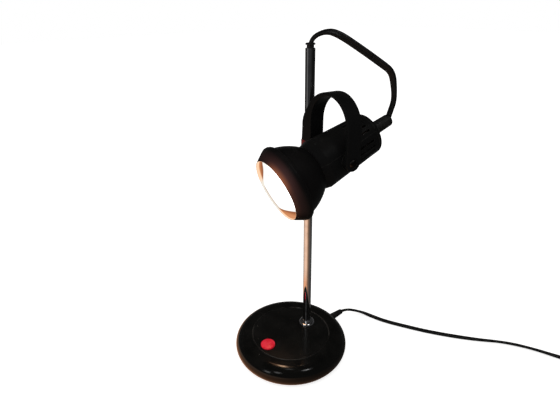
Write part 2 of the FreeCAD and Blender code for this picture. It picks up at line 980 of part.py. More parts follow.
def make_rear_gland():
    flange_end = cap_station + cap_recess
    flange_start = flange_end - gland_flange_thickness
    bore = flex_radius + loose_gap
    rounding = gland_end_round
    gland = turned_head([
        (0, flange_start),
        (gland_flange_radius, flange_start),
        (gland_flange_radius, flange_end),
        (gland_radius, flange_end),
        (gland_radius, tail_station),
        (gland_end_radius, gland_end - rounding),
        (
            (gland_end_radius - round_share * rounding, gland_end - round_share * rounding),
            (gland_end_radius - rounding, gland_end),
        ),
        (0, gland_end),
    ])
    turning_point = V(0, gland_outlet, 0)
    along = Part.makeCylinder(bore, gland_outlet - flange_start, V(0, flange_start, 0), Y_AXIS)
    rise = Part.makeCylinder(bore, 2 * gland_radius, turning_point, Z_AXIS)
    rise.rotate(turning_point, X_AXIS, -rest_tilt)
    ball = Part.makeSphere(bore, turning_point)
    grooves = []
    for index in range(gland_ribs):
        start = tail_station + gland_rib_start + gland_rib_pitch * index
        floor = gland_radius - gland_rib_depth
        outer = gland_radius + overcut
        grooves.append(turned_head([
            (floor, start),
            (outer, start),
            (outer, start + gland_rib_width),
            (floor, start + gland_rib_width),
        ]))
    return place_head(gland.cut(Part.makeCompound(grooves)).cut(joined([along, ball, rise])))


# Shade


def make_shade_bell():
    spigot_end = neck_station + bell_spigot_length
    spigot = body_neck_radius - body_wall - part_gap
    lip_radius = bell_mouth_radius - bell_lip_inset
    lip_start = bell_mouth_station - bell_lip_length
    bell = turned_head([
        (lip_radius, lip_start),
        (lip_radius, bell_mouth_station),
        (bell_mouth_radius, bell_mouth_station),
        ((bell_belly_radius, bell_belly_station), (bell_neck_radius, neck_station - part_gap)),
        (spigot, neck_station - part_gap),
        (spigot, spigot_end),
        (spigot - bell_wall, spigot_end),
        (spigot - bell_wall, neck_station - 2 * bell_wall),
        (
            (bell_belly_radius - bell_wall, bell_belly_station),
            (lip_radius - bell_wall, bell_mouth_station),
        ),
        (lip_radius - bell_wall, lip_start),
    ])
    holes = [radial_screw(neck_screw_station, angle, running_clearance) for angle in shell_screw_angles]
    return place_head(bell.cut(Part.makeCompound(holes)))


def make_shade_ring():
    seat = bell_mouth_radius - bell_lip_inset + part_gap
    outer_rim = opening_radius + opening_rim
    ring = turned_head([
        (opening_radius, 0),
        (outer_rim, 0),
        (
            (ring_cone_radius, ring_cone_station),
            (ring_bead_radius - ring_bead_round, ring_bead_station - ring_bead_lead),
        ),
        (
            (ring_bead_radius, ring_bead_station),
            (ring_back_radius, ring_back_station - ring_back_land),
        ),
        (ring_back_radius - ring_back_edge, ring_back_station),
        (seat, ring_back_station),
        (seat, bell_mouth_station - bell_lip_length - part_gap),
        (seat - ring_wall, bell_mouth_station - bell_lip_length - part_gap),
        (opening_radius, ring_throat),
    ])
    return place_head(ring)


# Bulb and holder


def bulb_form(inset):
    """Solid of the bulb's outer shape, or of its hollow when inset by the glass."""
    apex = bulb_apex_station + inset
    face_edge = apex + bulb_face_sag
    face = bulb_face_radius - inset
    belly = bulb_radius - inset
    waist = bulb_waist_radius - inset
    end = bulb_cap_station - part_gap
    waist_lead = (bulb_waist_station - bulb_widest_station) / 2
    return turned_head([
        (0, apex),
        ((face / 2, apex + bulb_face_sag / 4), (face, face_edge)),
        (
            (belly - bulb_corner_inset, face_edge + bulb_corner_rise),
            (belly, bulb_widest_station),
        ),
        (
            ((belly + waist) / 2 + bulb_belly_swell, bulb_widest_station + waist_lead),
            (waist, bulb_waist_station),
        ),
        (bulb_neck_radius - inset, bulb_neck_station),
        (bulb_cap_radius - inset, end),
        (0, end),
    ])


def make_bulb_glass():
    return place_head(bulb_form(0).cut(bulb_form(bulb_wall)))


def make_bulb_cap():
    end = bulb_cap_station + bulb_cap_length
    crest = bulb_cap_radius
    root = bulb_cap_radius - bulb_thread_depth
    points = [(0, bulb_cap_station), (root, bulb_cap_station)]
    start = bulb_cap_station + bulb_cap_collar
    turns = int((end - start - bulb_cap_tail) / bulb_thread_pitch)
    for index in range(turns):
        low = start + index * bulb_thread_pitch
        points.append((root, low))
        points.append(((crest, low + bulb_thread_pitch / 2), (root, low + bulb_thread_pitch)))
    points += [
        (root, end - bulb_cap_shoulder),
        (bulb_contact_radius + bulb_cap_shoulder, end),
        (bulb_contact_radius, end),
        (bulb_contact_radius, end + bulb_contact_length),
        (0, end + bulb_contact_length),
    ]
    return place_head(turned_head(points))


def holder_back():
    return bulb_cap_station + bulb_cap_length + bulb_contact_length + part_gap


def make_lamp_holder():
    back = holder_back()
    bore = bulb_cap_radius + part_gap
    end = back + holder_back_wall
    holder = turned_head([
        (bore, holder_front_station),
        (bore + holder_skirt, holder_front_station),
        (holder_radius, holder_front_station + holder_lip),
        (holder_radius, end),
        (0, end),
        (0, back),
        (bore, back),
    ])
    return place_head(holder)


def make_holder_bracket():
    """Sheet strap over the lamp holder, with a screwed foot on each side."""
    middle = holder_middle()
    start = middle - bracket_width / 2
    gap_radius = holder_radius + part_gap
    outer = gap_radius + bracket_thickness
    strap = turned_head([
        (gap_radius, start),
        (outer, start),
        (outer, start + bracket_width),
        (gap_radius, start + bracket_width),
    ])
    strap = strap.common(block((-outer, 0, 0), (outer, tail_station, outer)))
    pieces = [strap]
    toe = body_radius_at(start + bracket_width) - body_wall - loose_gap
    reach = math.sqrt(toe**2 - bracket_thickness**2)
    for side in (-1, 1):
        low_x, high_x = sorted((side * gap_radius, side * reach))
        pieces.append(block((low_x, start, 0), (high_x, start + bracket_width, bracket_thickness)))
    bracket = joined(pieces)
    return place_head(bracket.cut(Part.makeCompound(bracket_holes())))


def make_bracket_screws():
    screws = []
    top = bracket_thickness
    low = top - bracket_screw_length
    head_top = top + bracket_screw_head_height
    for side in (-1, 1):
        x = side * bracket_screw_offset()
        shank = disc(bracket_screw_radius, low, top, x, holder_middle())
        head = disc(bracket_screw_head_radius, top, head_top, x, holder_middle())
        screws.append(joined([shank, head]))
    return place_head(Part.makeCompound(screws))


# Leads


def make_head_lead():
    solid, length, radii = tube(lead_route, flex_radius)
    report_tube("head_lead", solid, length, radii, flex_radius)
    return place_yoke(solid)


def make_mains_relief():
    """Strain relief: a flange inside the shell's wall, and a taper outside it."""
    start = shell_rim_radius - relief_inset
    flange_foot = V(0, start - relief_flange_thickness, relief_height)
    flange = Part.makeCylinder(relief_flange_radius, relief_flange_thickness, flange_foot, Y_AXIS)
    sleeve = Part.makeCylinder(relief_root_radius, base_radius - start, V(0, start, relief_height), Y_AXIS)
    taper_foot = V(0, base_radius, relief_height)
    taper_length = relief_exit - base_radius
    taper = Part.makeCone(relief_root_radius, relief_tip_radius, taper_length, taper_foot, Y_AXIS)
    return joined([flange, sleeve, taper])


def make_mains_cord():
    solid, length, radii = tube(mains_route, flex_radius)
    report_tube("mains_cord", solid, length, radii, flex_radius)
    return solid


def make_mains_tail():
    solid, length, radii = tube(tail_route, flex_radius)
    report_tube("mains_tail", solid, length, radii, flex_radius)
    return solid


def make_mains_coil():
    half = coil_columns * coil_pitch / 2
    inner = coil_mean_radius - half
    outer = coil_mean_radius + half
    height = coil_layers * coil_pitch
    corner = coil_pitch / 2
    coil = turned([
        (inner + corner, 0),
        (outer - corner, 0),
        (outer, corner),
        (outer, height - corner),
        (outer - corner, height),
        (inner + corner, height),
        (inner, height - corner),
        (inner, corner),
    ])
    coil.translate(V(coil_centre[0], coil_centre[1], 0))
    return coil


def plug_start():
    return vec(tail_route[-1])


def make_mains_plug():
    start = plug_start()
    grip_end = start.y - plug_tail_length
    face = grip_end - plug_length
    tail_end = plug_thickness / 2 - plug_shoulder
    tail = Part.makeCone(relief_tip_radius, tail_end, plug_tail_length, start, V(0, -1, 0))
    body = block(
        (start.x - plug_width / 2, face, 0),
        (start.x + plug_width / 2, grip_end, plug_thickness),
    )
    uprights = [edge for edge in body.Edges if edge.BoundBox.YLength > plug_length - 1e-3]
    body = body.makeFillet(plug_edge, uprights)
    return joined([body, tail])


def make_plug_pins():
    start = plug_start()
    face = start.y - plug_tail_length - plug_length
    pins = []
    for side in (-1, 1):
        foot = V(start.x + side * plug_pin_spacing / 2, face, start.z)
        pin = Part.makeCylinder(plug_pin_radius, plug_pin_length - plug_pin_radius, foot, V(0, -1, 0))
        tip = Part.makeSphere(plug_pin_radius, foot - Y_AXIS * (plug_pin_length - plug_pin_radius))
        pins.append(joined([pin, tip]))
    return Part.makeCompound(pins)


def all_parts():
    return {
        "base_shell": make_base_shell(),
        "base_plate": make_base_plate(),
        "base_pad": make_base_pad(),
        "base_weight": make_base_weight(),
        "base_screws": make_base_screws(),
        "switch_button": make_switch_button(),
        "switch_guide": make_switch_guide(),
        "switch_body": make_switch_body(),
        "switch_spring": make_switch_spring(),
        "pole": make_pole(),
        "pole_collar": make_pole_collar(),
        "pole_washer": make_pole_washer(),
        "pole_nut": make_pole_nut(),
        "pole_grommet": make_pole_grommet(),
        "yoke": make_yoke(),
        "clamp_collar": make_clamp_collar(),
        "clamp_thumbscrew": make_clamp_thumbscrew(),
        "pivot_screw_near": make_pivot_screw(1),
        "pivot_screw_far": make_pivot_screw(-1),
        "pivot_bush_near": make_pivot_bush(1),
        "pivot_bush_far": make_pivot_bush(-1),
        "housing_cover": housing_half(True),
        "housing_tray": housing_half(False),
        "neck_screws": make_shell_screws(neck_screw_station),
        "cap_screws": make_shell_screws(cap_screw_station),
        "rear_cap": make_rear_cap(),
        "rear_gland": make_rear_gland(),
        "shade_bell": make_shade_bell(),
        "shade_ring": make_shade_ring(),
        "bulb_glass": make_bulb_glass(),
        "bulb_cap": make_bulb_cap(),
        "lamp_holder": make_lamp_holder(),
        "holder_bracket": make_holder_bracket(),
        "bracket_screws": make_bracket_screws(),
        "head_lead": make_head_lead(),
        "mains_relief": make_mains_relief(),
        "mains_cord": make_mains_cord(),
        "mains_coil": make_mains_coil(),
        "mains_tail": make_mains_tail(),
        "mains_plug": make_mains_plug(),
        "plug_pins": make_plug_pins(),
    }


os.makedirs("parts", exist_ok=True)
for name, shape in all_parts().items():
    shape.exportStep("parts/" + name + ".step")
    print("%-18s solids %d  valid %s  volume %.1f" % (name, len(shape.Solids), shape.isValid(), shape.Volume))
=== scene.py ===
# %% [markdown]
# # A tabletop searchlight lamp
#
# A heavy round foot with a red push button carries a chrome pole. A black arch, the yoke, slides and
# turns on the pole, and a small searchlight head tilts between its arms. The hard pieces come from a
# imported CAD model, so this lesson never moves or reshapes them. It gives them finishes, makes the
# flexible leads, which a CAD tube can't show well, and sets up light and a camera.

# %% Load the CAD model
import json
import math

import bpy
from mathutils import Matrix, Vector


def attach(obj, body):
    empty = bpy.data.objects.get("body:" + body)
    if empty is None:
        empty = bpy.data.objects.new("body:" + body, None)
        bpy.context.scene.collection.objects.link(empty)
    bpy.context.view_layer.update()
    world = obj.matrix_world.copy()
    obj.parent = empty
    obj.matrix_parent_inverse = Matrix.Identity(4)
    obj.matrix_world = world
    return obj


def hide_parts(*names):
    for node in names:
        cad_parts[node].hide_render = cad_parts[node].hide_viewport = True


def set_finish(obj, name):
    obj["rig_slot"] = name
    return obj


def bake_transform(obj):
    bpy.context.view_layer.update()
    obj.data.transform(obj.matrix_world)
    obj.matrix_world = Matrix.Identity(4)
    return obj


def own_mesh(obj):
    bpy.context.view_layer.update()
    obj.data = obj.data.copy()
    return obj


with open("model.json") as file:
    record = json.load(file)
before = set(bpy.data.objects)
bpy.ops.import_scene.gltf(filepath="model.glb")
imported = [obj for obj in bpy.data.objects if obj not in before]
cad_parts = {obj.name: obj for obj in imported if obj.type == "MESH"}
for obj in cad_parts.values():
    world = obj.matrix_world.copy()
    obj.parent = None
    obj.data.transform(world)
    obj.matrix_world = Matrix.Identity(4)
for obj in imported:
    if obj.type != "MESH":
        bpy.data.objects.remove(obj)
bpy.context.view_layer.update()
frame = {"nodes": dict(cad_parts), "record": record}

millimetre = 0.001

# %% [markdown]
# ## The camera
#
# The lamp was photographed from the front right, a little above the head. A camera can be turned with
# three angles, but two directions are easier to read: where it looks, and which way is up in the
# picture. The third direction follows from a cross product. The lens is short, 28 mm, because the
# camera stood close, and that makes the foot look small against the head.

# %% Place the camera
def into_scene(name, data):
    """Object with this mesh, camera or light, linked to the scene."""
    thing = bpy.data.objects.new(name, data)
    bpy.context.scene.collection.objects.link(thing)
    return thing


pole_foot = Vector((0.0, 27.5, 0.0))
camera_place = Vector((0.3278, -0.2738, 0.4035))
camera_looks = Vector((-0.7058, 0.5594, -0.4345)).normalized()
camera_up = Vector((-0.3291, 0.2841, 0.9005))
lens_millimetres = 27.64

across = camera_looks.cross(camera_up).normalized()
upright = across.cross(camera_looks)
camera_data = bpy.data.cameras.new("photo_camera")
camera_data.lens = lens_millimetres
camera_data.shift_x = 0.0003
camera = into_scene("photo_camera", camera_data)
turned = Matrix((across, upright, -camera_looks)).transposed().to_4x4()
camera.matrix_world = Matrix.Translation(camera_place) @ turned
bpy.context.scene.camera = camera
from_camera = camera_place.xy - pole_foot.xy * millimetre
print("camera stands %.2f m from the pole" % from_camera.length)

# %% [markdown]
# ## A line for a cord
#
# A cord is one smooth line with a section swept along it. The line is a NURBS spline: its control
# points pull the curve towards them without it passing through them, so no bend is ever sharper than
# the points allow, much as a real cord rounds every turn. The order is set after the points are in,
# because a spline with too few points drops back to straight runs. A mesh made from the bare curve
# then gives the line as close-set points that a section can follow.

# %% Read a smooth line from control points
def smooth_line(name, control_points, steps=8):
    """Points, in metres, along a NURBS spline with these control points."""
    data = bpy.data.curves.new(name + "_line", "CURVE")
    data.dimensions = "3D"
    spline = data.splines.new("NURBS")
    spline.points.add(len(control_points) - 1)
    for point, place in zip(spline.points, control_points):
        point.co = (*place, 1.0)
    spline.order_u = 3
    spline.use_endpoint_u = True
    spline.resolution_u = steps
    holder = bpy.data.objects.new(name + "_line", data)
    mesh = bpy.data.meshes.new_from_object(holder)
    line = [vertex.co.copy() for vertex in mesh.vertices]
    bpy.data.objects.remove(holder)
    bpy.data.meshes.remove(mesh)
    bpy.data.curves.remove(data)
    return line


def length_of(line):
    return sum((b - a).length for a, b in zip(line, line[1:]))


# %% [markdown]
# ## Flat twin flex
#
# Both leads are flat twin flex: two round cores side by side with a shallow valley between them. The
# section is worked out as the outline of two overlapping circles. It is carried along the line
# without spinning, and then turned slowly on purpose, as flex that has been coiled turns. That makes a
# lead look thin, then thick, then thin again. Where the line is on the table, each section is lowered
# until its lowest corner touches.

# %% Sweep the section of two cores along a line
section_points = 20
valley_share = 0.8
resting_height = 2.7
settles_below = 1.3
touching = 0.05 * millimetre


def twin_section(width, thickness):
    """Outline of two round cores side by side, as (across, out) pairs."""
    core = thickness / 2
    offset = width / 2 - core
    outline = []
    for step in range(section_points):
        angle = 2 * math.pi * step / section_points
        past_core = core**2 - (offset * math.sin(angle)) ** 2
        far_side = math.sqrt(max(past_core, (valley_share * core) ** 2))
        reach = offset * abs(math.cos(angle)) + far_side
        outline.append((reach * math.cos(angle), reach * math.sin(angle)))
    return outline


def flex_mesh(name, line, turn_at, sideways, outline, lies_down=False):
    """Flat flex along a line. turn_at gives its turn, in radians, at a length along it."""
    corners = []
    side = Vector(sideways)
    travelled = 0.0
    for index, place in enumerate(line):
        before = line[max(index - 1, 0)]
        after = line[min(index + 1, len(line) - 1)]
        along = (after - before).normalized()
        side = (side - along * side.dot(along)).normalized()
        out = along.cross(side)
        travelled += (place - before).length
        turn = turn_at(travelled)
        wide = side * math.cos(turn) + out * math.sin(turn)
        thin = out * math.cos(turn) - side * math.sin(turn)
        section = [place + wide * a + thin * b for a, b in outline]
        if lies_down:
            lowest = min(corner.z for corner in section)
            lift = place.z / (resting_height * millimetre)
            on_table = max(0.0, min(1.0, (settles_below - lift) / (settles_below - 1)))
            drop = Vector((0, 0, on_table * (lowest - touching)))
            section = [corner - drop for corner in section]
        corners.extend(section)
    faces = []
    count = len(outline)
    for ring in range(len(line) - 1):
        for step in range(count):
            here, beside = ring * count + step, ring * count + (step + 1) % count
            faces.append((here, beside, beside + count, here + count))
    faces.append(tuple(range(count))[::-1])
    faces.append(tuple(range(len(corners) - count, len(corners))))
    mesh = bpy.data.meshes.new(name)
    mesh.from_pydata(corners, [], faces)
    mesh.polygons.foreach_set("use_smooth", [True] * (len(faces) - 2) + [False, False])
    mesh.update()
    return into_scene(name, mesh)


mains_width = 6.0 * millimetre
mains_section = twin_section(mains_width, 3.3 * millimetre)
print("mains flex: %d points round a section %.1f mm wide" % (section_points, mains_width * 1e3))

# %% [markdown]
# ## The mains lead
#
# It leaves the foot through a tapered relief at the back, drops to the table within a few centimetres
# and wanders off to the right in two loose curves. The rest is wound up just past the picture's edge.
# The coil is three layers of turns: out to in, back to the outside one layer up, and a last turn on
# top. Each turn keeps its radius and moves over in one short stretch, as turns laid by hand do.

# %% Route of the mains lead
relief_exit = (0.0, 92.5, 9.15)
falls = [relief_exit, (0.0, 102.0, 8.0), (9.0, 115.0, 4.6), (24.0, 123.5, 2.9)]
wanders = [
    (46.0, 130.0), (73.0, 144.0), (99.0, 158.5), (126.0, 177.0), (150.0, 195.0),
    (172.0, 214.5), (198.0, 230.0), (229.0, 242.5), (256.0, 255.0),
]
lead_to_coil = falls + [(x, y, resting_height) for x, y in wanders]
lead_to_plug = [
    (333.6, 228.0, 4.2), (332.6, 217.0, 4.4), (328.6, 205.0, 6.8), (327.0, 197.0, 6.8), (327.0, 190.0, 6.8),
]
coil_middle = (292.0, 231.5)
coil_mean_radius = 30.0
turn_pitch = 5.6
entry_angle = 115.0
points_per_turn = 18
slots = [(2, 0), (1, 0), (0, 0), (0, 1), (1, 1), (2, 1), (1, 2), (2, 2)]
change_starts = 250.0
change_takes = 80.0
climbs_first = 10.0


def eased(share):
    share = max(0.0, min(1.0, share))
    return share * share * (3 - 2 * share)


def coil_point(wound):
    """Point of the coil, in millimetres, after this many degrees of winding."""
    turn = int(wound // 360)
    column, layer = slots[turn]
    if turn + 1 < len(slots):
        next_column, next_layer = slots[turn + 1]
        within = wound - 360 * turn
        climbs = eased((within - change_starts) / (change_takes / 2))
        moves = eased((within - change_starts - climbs_first) / change_takes)
        column += (next_column - column) * moves
        layer += (next_layer - layer) * climbs
    radius = coil_mean_radius + (column - 1) * turn_pitch
    angle = math.radians(entry_angle - wound)
    x = coil_middle[0] + radius * math.cos(angle)
    y = coil_middle[1] + radius * math.sin(angle)
    return (x, y, resting_height + layer * turn_pitch)


full_turns = len(slots) - 1
last_wound = full_turns * 360 + 72.0
coil_steps = int(last_wound * points_per_turn / 360)
coil = [coil_point(last_wound * step / coil_steps) for step in range(coil_steps + 1)]
off_the_coil = [(329.6, 246.0, 11.0), (333.0, 238.0, 6.6)]
mains_points = lead_to_coil + coil + off_the_coil + lead_to_plug
mains_points = [Vector(point) * millimetre for point in mains_points]
mains_line = smooth_line("mains_flex", mains_points)
print("mains lead: %d control points, %.3f m long" % (len(mains_points), length_of(mains_line)))

# %% [markdown]
# ## The mains lead as a piece
#
# The lead keeps turning slowly about its own line. In the part that the picture shows, the turn is
# read from how wide the lead looks: thin where it comes over the hump, wide along the table, thin
# again before the edge. Those angles are given at a few lengths and eased in between. After them two
# slow waves take over. The lead replaces three plain CAD solids: the tube, the ring that stands for
# the coil, and the short tail at the plug.

# %% Make the mains lead
turn_stops = [(0.0, -0.6), (0.02, -0.6), (0.05, 0.15), (0.15, 0.15), (0.23, -0.6), (0.31, 0.25)]
slow_waves = [(0.9, 23.0), (0.5, 57.0)]


def mains_turn(travelled):
    for (start, first), (end, second) in zip(turn_stops, turn_stops[1:]):
        if travelled < end:
            return first + (second - first) * eased((travelled - start) / (end - start))
    past = travelled - turn_stops[-1][0]
    return turn_stops[-1][1] + sum(size * math.sin(past * rate) for size, rate in slow_waves)


mains_flex = flex_mesh("mains_flex", mains_line, mains_turn, (1, 0, 0), mains_section, lies_down=True)
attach(mains_flex, "root")
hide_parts("mains_cord", "mains_coil", "mains_tail")
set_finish(mains_flex, "flex_black")
print("mains lead:", len(mains_flex.data.vertices), "points in its mesh")

# %% [markdown]
# ## The lead to the head
#
# A wider flex comes up through the pole, bends over its rubber bush and goes down in a wide arc to the
# sleeve at the back of the head. All of it lies in one upright plane through the pole. It leaves the
# bush with its edge to the camera and turns its flat side to it over the long slope. The yoke slides
# and turns on the pole, and the head tilts in the yoke. A piece can blend between two bodies only, so
# the lead is cut at the top of its fall.

# %% Make the two parts of the head's lead
lead_heading = math.radians(48.2)
away_from_pole = Vector((math.cos(lead_heading), math.sin(lead_heading), 0))
across_lead_plane = Vector((-math.sin(lead_heading), math.cos(lead_heading), 0))
head_lead_route = [
    (0.0, 365.1), (0.7, 371.9), (12.0, 377.9), (24.5, 377.2), (50.0, 361.2), (70.0, 347.8),
    (80.5, 340.4), (83.9, 325.5), (85.2, 312.0), (82.4, 301.5), (80.4, 293.0),
]
head_points = [
    (pole_foot + away_from_pole * out + Vector((0, 0, up))) * millimetre for out, up in head_lead_route
]
head_line = smooth_line("head_flex", head_points, steps=14)
cut_height = 0.3545
cut = min(i for i, place in enumerate(head_line) if place.z < cut_height)


def head_turn(travelled):
    over_bush = 85 * eased((travelled - 0.012) / 0.03)
    over_kink = 65 * eased((travelled - 0.075) / 0.05)
    return math.radians(5 + over_bush + over_kink)


length_to_cut = length_of(head_line[: cut + 1])
head_section = twin_section(7.3 * millimetre, 3.8 * millimetre)
lead_upper = flex_mesh("lead_upper", head_line[: cut + 1], head_turn, across_lead_plane, head_section)
lead_lower = flex_mesh(
    "lead_lower", head_line[cut:], lambda t: head_turn(t + length_to_cut), across_lead_plane, head_section
)
for piece in (lead_upper, lead_lower):
    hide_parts("head_lead")
    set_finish(piece, "flex_black")
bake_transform(lead_upper)
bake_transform(lead_lower)
print("head's lead: %.3f m, cut %.3f m from the pole's bush" % (length_of(head_line), length_to_cut))

# %% [markdown]
# ## The tie on the coil
#
# A coil of flex springs open unless something holds it. A soft strap goes once round all the turns on
# the side away from the plug. It is a flat band on a rounded loop, so two nested outlines, one for the
# inside and one for the outside, are joined into a ring of faces.

# %% Make the tie
tie_width = 6.0
tie_thickness = 0.9
tie_angle = math.radians(262.0)
tie_half_across = 9.4
tie_lowest, tie_low, tie_high = 0.05, 0.12, 17.5
tie_corner_radius = 4.0
tie_corner_steps = 6


def tie_loop(grow):
    """Rounded loop round the coil's section, as (outward, up) pairs in millimetres."""
    radius = tie_corner_radius + grow
    across_half = tie_half_across + grow
    low = max(tie_lowest, tie_low - grow)
    high = tie_high + grow
    middles = [
        (across_half - radius, high - radius, 0),
        (-across_half + radius, high - radius, 90),
        (-across_half + radius, low + radius, 180),
        (across_half - radius, low + radius, 270),
    ]
    loop = []
    for out, up, start in middles:
        for step in range(tie_corner_steps + 1):
            angle = math.radians(start + 90 * step / tie_corner_steps)
            loop.append((out + radius * math.cos(angle), up + radius * math.sin(angle)))
    return loop


def coil_place(out, along, up):
    """Place beside the coil's middle line at the tie, in metres."""
    radius = coil_mean_radius + out
    outward = Vector((math.cos(tie_angle), math.sin(tie_angle), 0))
    beside = Vector((-math.sin(tie_angle), math.cos(tie_angle), 0))
    middle = Vector((*coil_middle, 0))
    return (middle + outward * radius + beside * along + Vector((0, 0, up))) * millimetre


rails = []
for grow, along in ((0.0, -0.5), (tie_thickness, -0.5), (tie_thickness, 0.5), (0.0, 0.5)):
    rails.append([coil_place(out, along * tie_width, up) for out, up in tie_loop(grow)])
around = len(rails[0])
tie_faces = []
for rail in range(4):
    beside = (rail + 1) % 4
    for step in range(around):
        following = (step + 1) % around
        corners = (rail, step), (beside, step), (beside, following), (rail, following)
        tie_faces.append([row * around + column for row, column in corners])
tie_mesh = bpy.data.meshes.new("coil_tie")
tie_mesh.from_pydata([place for rail in rails for place in rail], [], tie_faces)
tie_mesh.update()
coil_tie = into_scene("coil_tie", tie_mesh)
rounding = coil_tie.modifiers.new("soft_edges", "BEVEL")
rounding.width = 0.25 * millimetre
rounding.segments = 2
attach(coil_tie, "root")
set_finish(coil_tie, "black_rubber")
print("tie: %d faces" % len(tie_faces))

# %% [markdown]
# ## Building finishes from nodes
#
# A finish is a small network of nodes that ends in one Principled shader. A few helpers keep the cells
# short: give fills a node's sockets and add makes a new node, sum_of, times and vector_sum do sums,
# ramp, mixed and by_stops turn numbers into masks and colours, and new_finish starts a material.
# Colours are judged as 0 to 255, which is not how light adds up, so they are made linear first.

# %% Helpers for node networks
def linear(red, green, blue):
    """Colour as linear light, from values of 0 to 255 as a picture stores them."""
    values = []
    for value in (red / 255, green / 255, blue / 255):
        values.append(value / 12.92 if value <= 0.04045 else ((value + 0.055) / 1.055) ** 2.4)
    return (*values, 1.0)


def feed(tree, socket, value):
    """Link a socket to another one, or give it a plain value."""
    if isinstance(value, bpy.types.NodeSocket):
        tree.links.new(value, socket)
    else:
        socket.default_value = value


def give(tree, node, **values):
    """Fill a node. A name with a capital is a socket, with _ for a space; any other is a setting."""
    for label, value in values.items():
        if label[0].isupper():
            feed(tree, node.inputs[label.replace("_", " ")], value)
        else:
            setattr(node, label, value)
    return node


def add(tree, kind, **values):
    return give(tree, tree.nodes.new("ShaderNode" + kind), **values)


def sum_of(tree, operation, *values, clamp=False):
    """Result of a sum on one, two or three numbers."""
    node = add(tree, "Math", operation=operation, use_clamp=clamp)
    for socket, value in zip(node.inputs, values):
        feed(tree, socket, value)
    return node.outputs[0]


def times(tree, first, *others):
    for other in others:
        first = sum_of(tree, "MULTIPLY", first, other)
    return first


def vector_sum(tree, operation, *values):
    """Result of a sum on one or two vectors: a number for a dot product or a length."""
    node = add(tree, "VectorMath", operation=operation)
    for socket, value in zip(node.inputs, values):
        feed(tree, socket, value)
    return node.outputs["Value" if operation in ("DOT_PRODUCT", "LENGTH") else "Vector"]


def ramp(tree, value, low, high, to_low=0.0, to_high=1.0):
    """Value carried smoothly from one range to another and held at its ends."""
    node = add(tree, "MapRange", interpolation_type="SMOOTHSTEP", Value=value, From_Min=low, From_Max=high)
    return give(tree, node, To_Min=to_low, To_Max=to_high).outputs["Result"]


def mixed(tree, share, first, second):
    """Colour between two others."""
    node = add(tree, "Mix", data_type="RGBA")
    feed(tree, node.inputs[0], share)
    feed(tree, node.inputs[6], first)
    feed(tree, node.inputs[7], second)
    return node.outputs[2]


def by_stops(tree, value, stops):
    """Colour that goes through these (position, colour) stops as the value goes from 0 to 1."""
    node = add(tree, "ValToRGB", Fac=value)
    band = node.color_ramp
    band.elements[0].position, band.elements[0].color = stops[0]
    band.elements[1].position, band.elements[1].color = stops[-1]
    for position, colour in stops[1:-1]:
        band.elements.new(position).color = colour
    return node.outputs["Color"]


finishes = {}


def new_finish(name, **settings):
    """Material with one Principled shader; settings are that shader's plain values."""
    material = finishes[name] = bpy.data.materials.new(name)
    material.use_nodes = True
    tree = material.node_tree
    return tree, give(tree, tree.nodes["Principled BSDF"], **settings)


def bump(tree, shader, height, depth):
    """Small relief on a shader's surface; depth is in metres."""
    give(tree, shader, Normal=add(tree, "Bump", Height=height, Distance=depth).outputs["Normal"])


def tell(label, tree):
    print("%s: %d nodes" % (label, len(tree.nodes)))


black = (0.0, 0.0, 0.0, 1.0)
white = (1.0, 1.0, 1.0, 1.0)
print("a middle grey of 128 is %.3f in linear light" % linear(128, 128, 128)[0])

# %% [markdown]
# ## Effects that several finishes share
#
# Gloss is never even, dust settles on what faces up, and moulded plastic has a fine grain. Each such
# effect is a node group with named sockets, built once, and every finish places it with its own
# values. All of them measure in metres on the object itself, so a grain of half a millimetre is half a
# millimetre on every piece. The groups put out masks and values only, and the shaders stay in the
# materials.

# %% A helper that starts an effect
def new_effect(name, inputs, outputs):
    """Empty node group with these number sockets. Returns it, its inputs and its outputs."""
    tree = bpy.data.node_groups.new(name, "ShaderNodeTree")
    for label, value in inputs:
        socket = tree.interface.new_socket(label, in_out="INPUT", socket_type="NodeSocketFloat")
        socket.default_value = value
    for label in outputs:
        tree.interface.new_socket(label, in_out="OUTPUT", socket_type="NodeSocketFloat")
    entry = tree.nodes.new("NodeGroupInput")
    way_out = tree.nodes.new("NodeGroupOutput")
    return tree, entry.outputs, way_out.inputs


def on_object(tree):
    return add(tree, "TexCoord").outputs["Object"]


def noise(tree, scale, detail, **settings):
    """Noise from 0 to 1; scale is how many of its grains go into a metre."""
    return add(tree, "TexNoise", Vector=on_object(tree), Scale=scale, Detail=detail, **settings).outputs[0]


def place_effect(tree, effect, **values):
    """Copy of an effect in a material, with its own values. Returns its outputs."""
    return add(tree, "Group", node_tree=effect, **values).outputs


# %% [markdown]
# ### Uneven gloss
#
# Hands, cloths and age leave a surface shinier in places. Two noises, one wide and one fine, move the
# roughness between a smooth and a rough value.

# %% Effect: uneven gloss
uneven_gloss, given, result = new_effect(
    "uneven_gloss", [("Smooth", 0.2), ("Rough", 0.3), ("Patch", 0.02)], ["Roughness"]
)
how_often = sum_of(uneven_gloss, "DIVIDE", 1.0, given["Patch"])
wide = noise(uneven_gloss, how_often, 3.0)
fine = noise(uneven_gloss, times(uneven_gloss, how_often, 9.0), 2.0)
both = sum_of(uneven_gloss, "MULTIPLY_ADD", fine, 0.35, times(uneven_gloss, wide, 0.65))
spread = ramp(uneven_gloss, both, 0.35, 0.65, given["Smooth"], given["Rough"])
feed(uneven_gloss, result["Roughness"], spread)
tell("uneven gloss", uneven_gloss)

# %% [markdown]
# ### Moulded grain
#
# The steel mould of a plastic part is etched or blasted, and the part keeps that fine texture. A noise
# and a cell pattern together are rounder than noise alone.

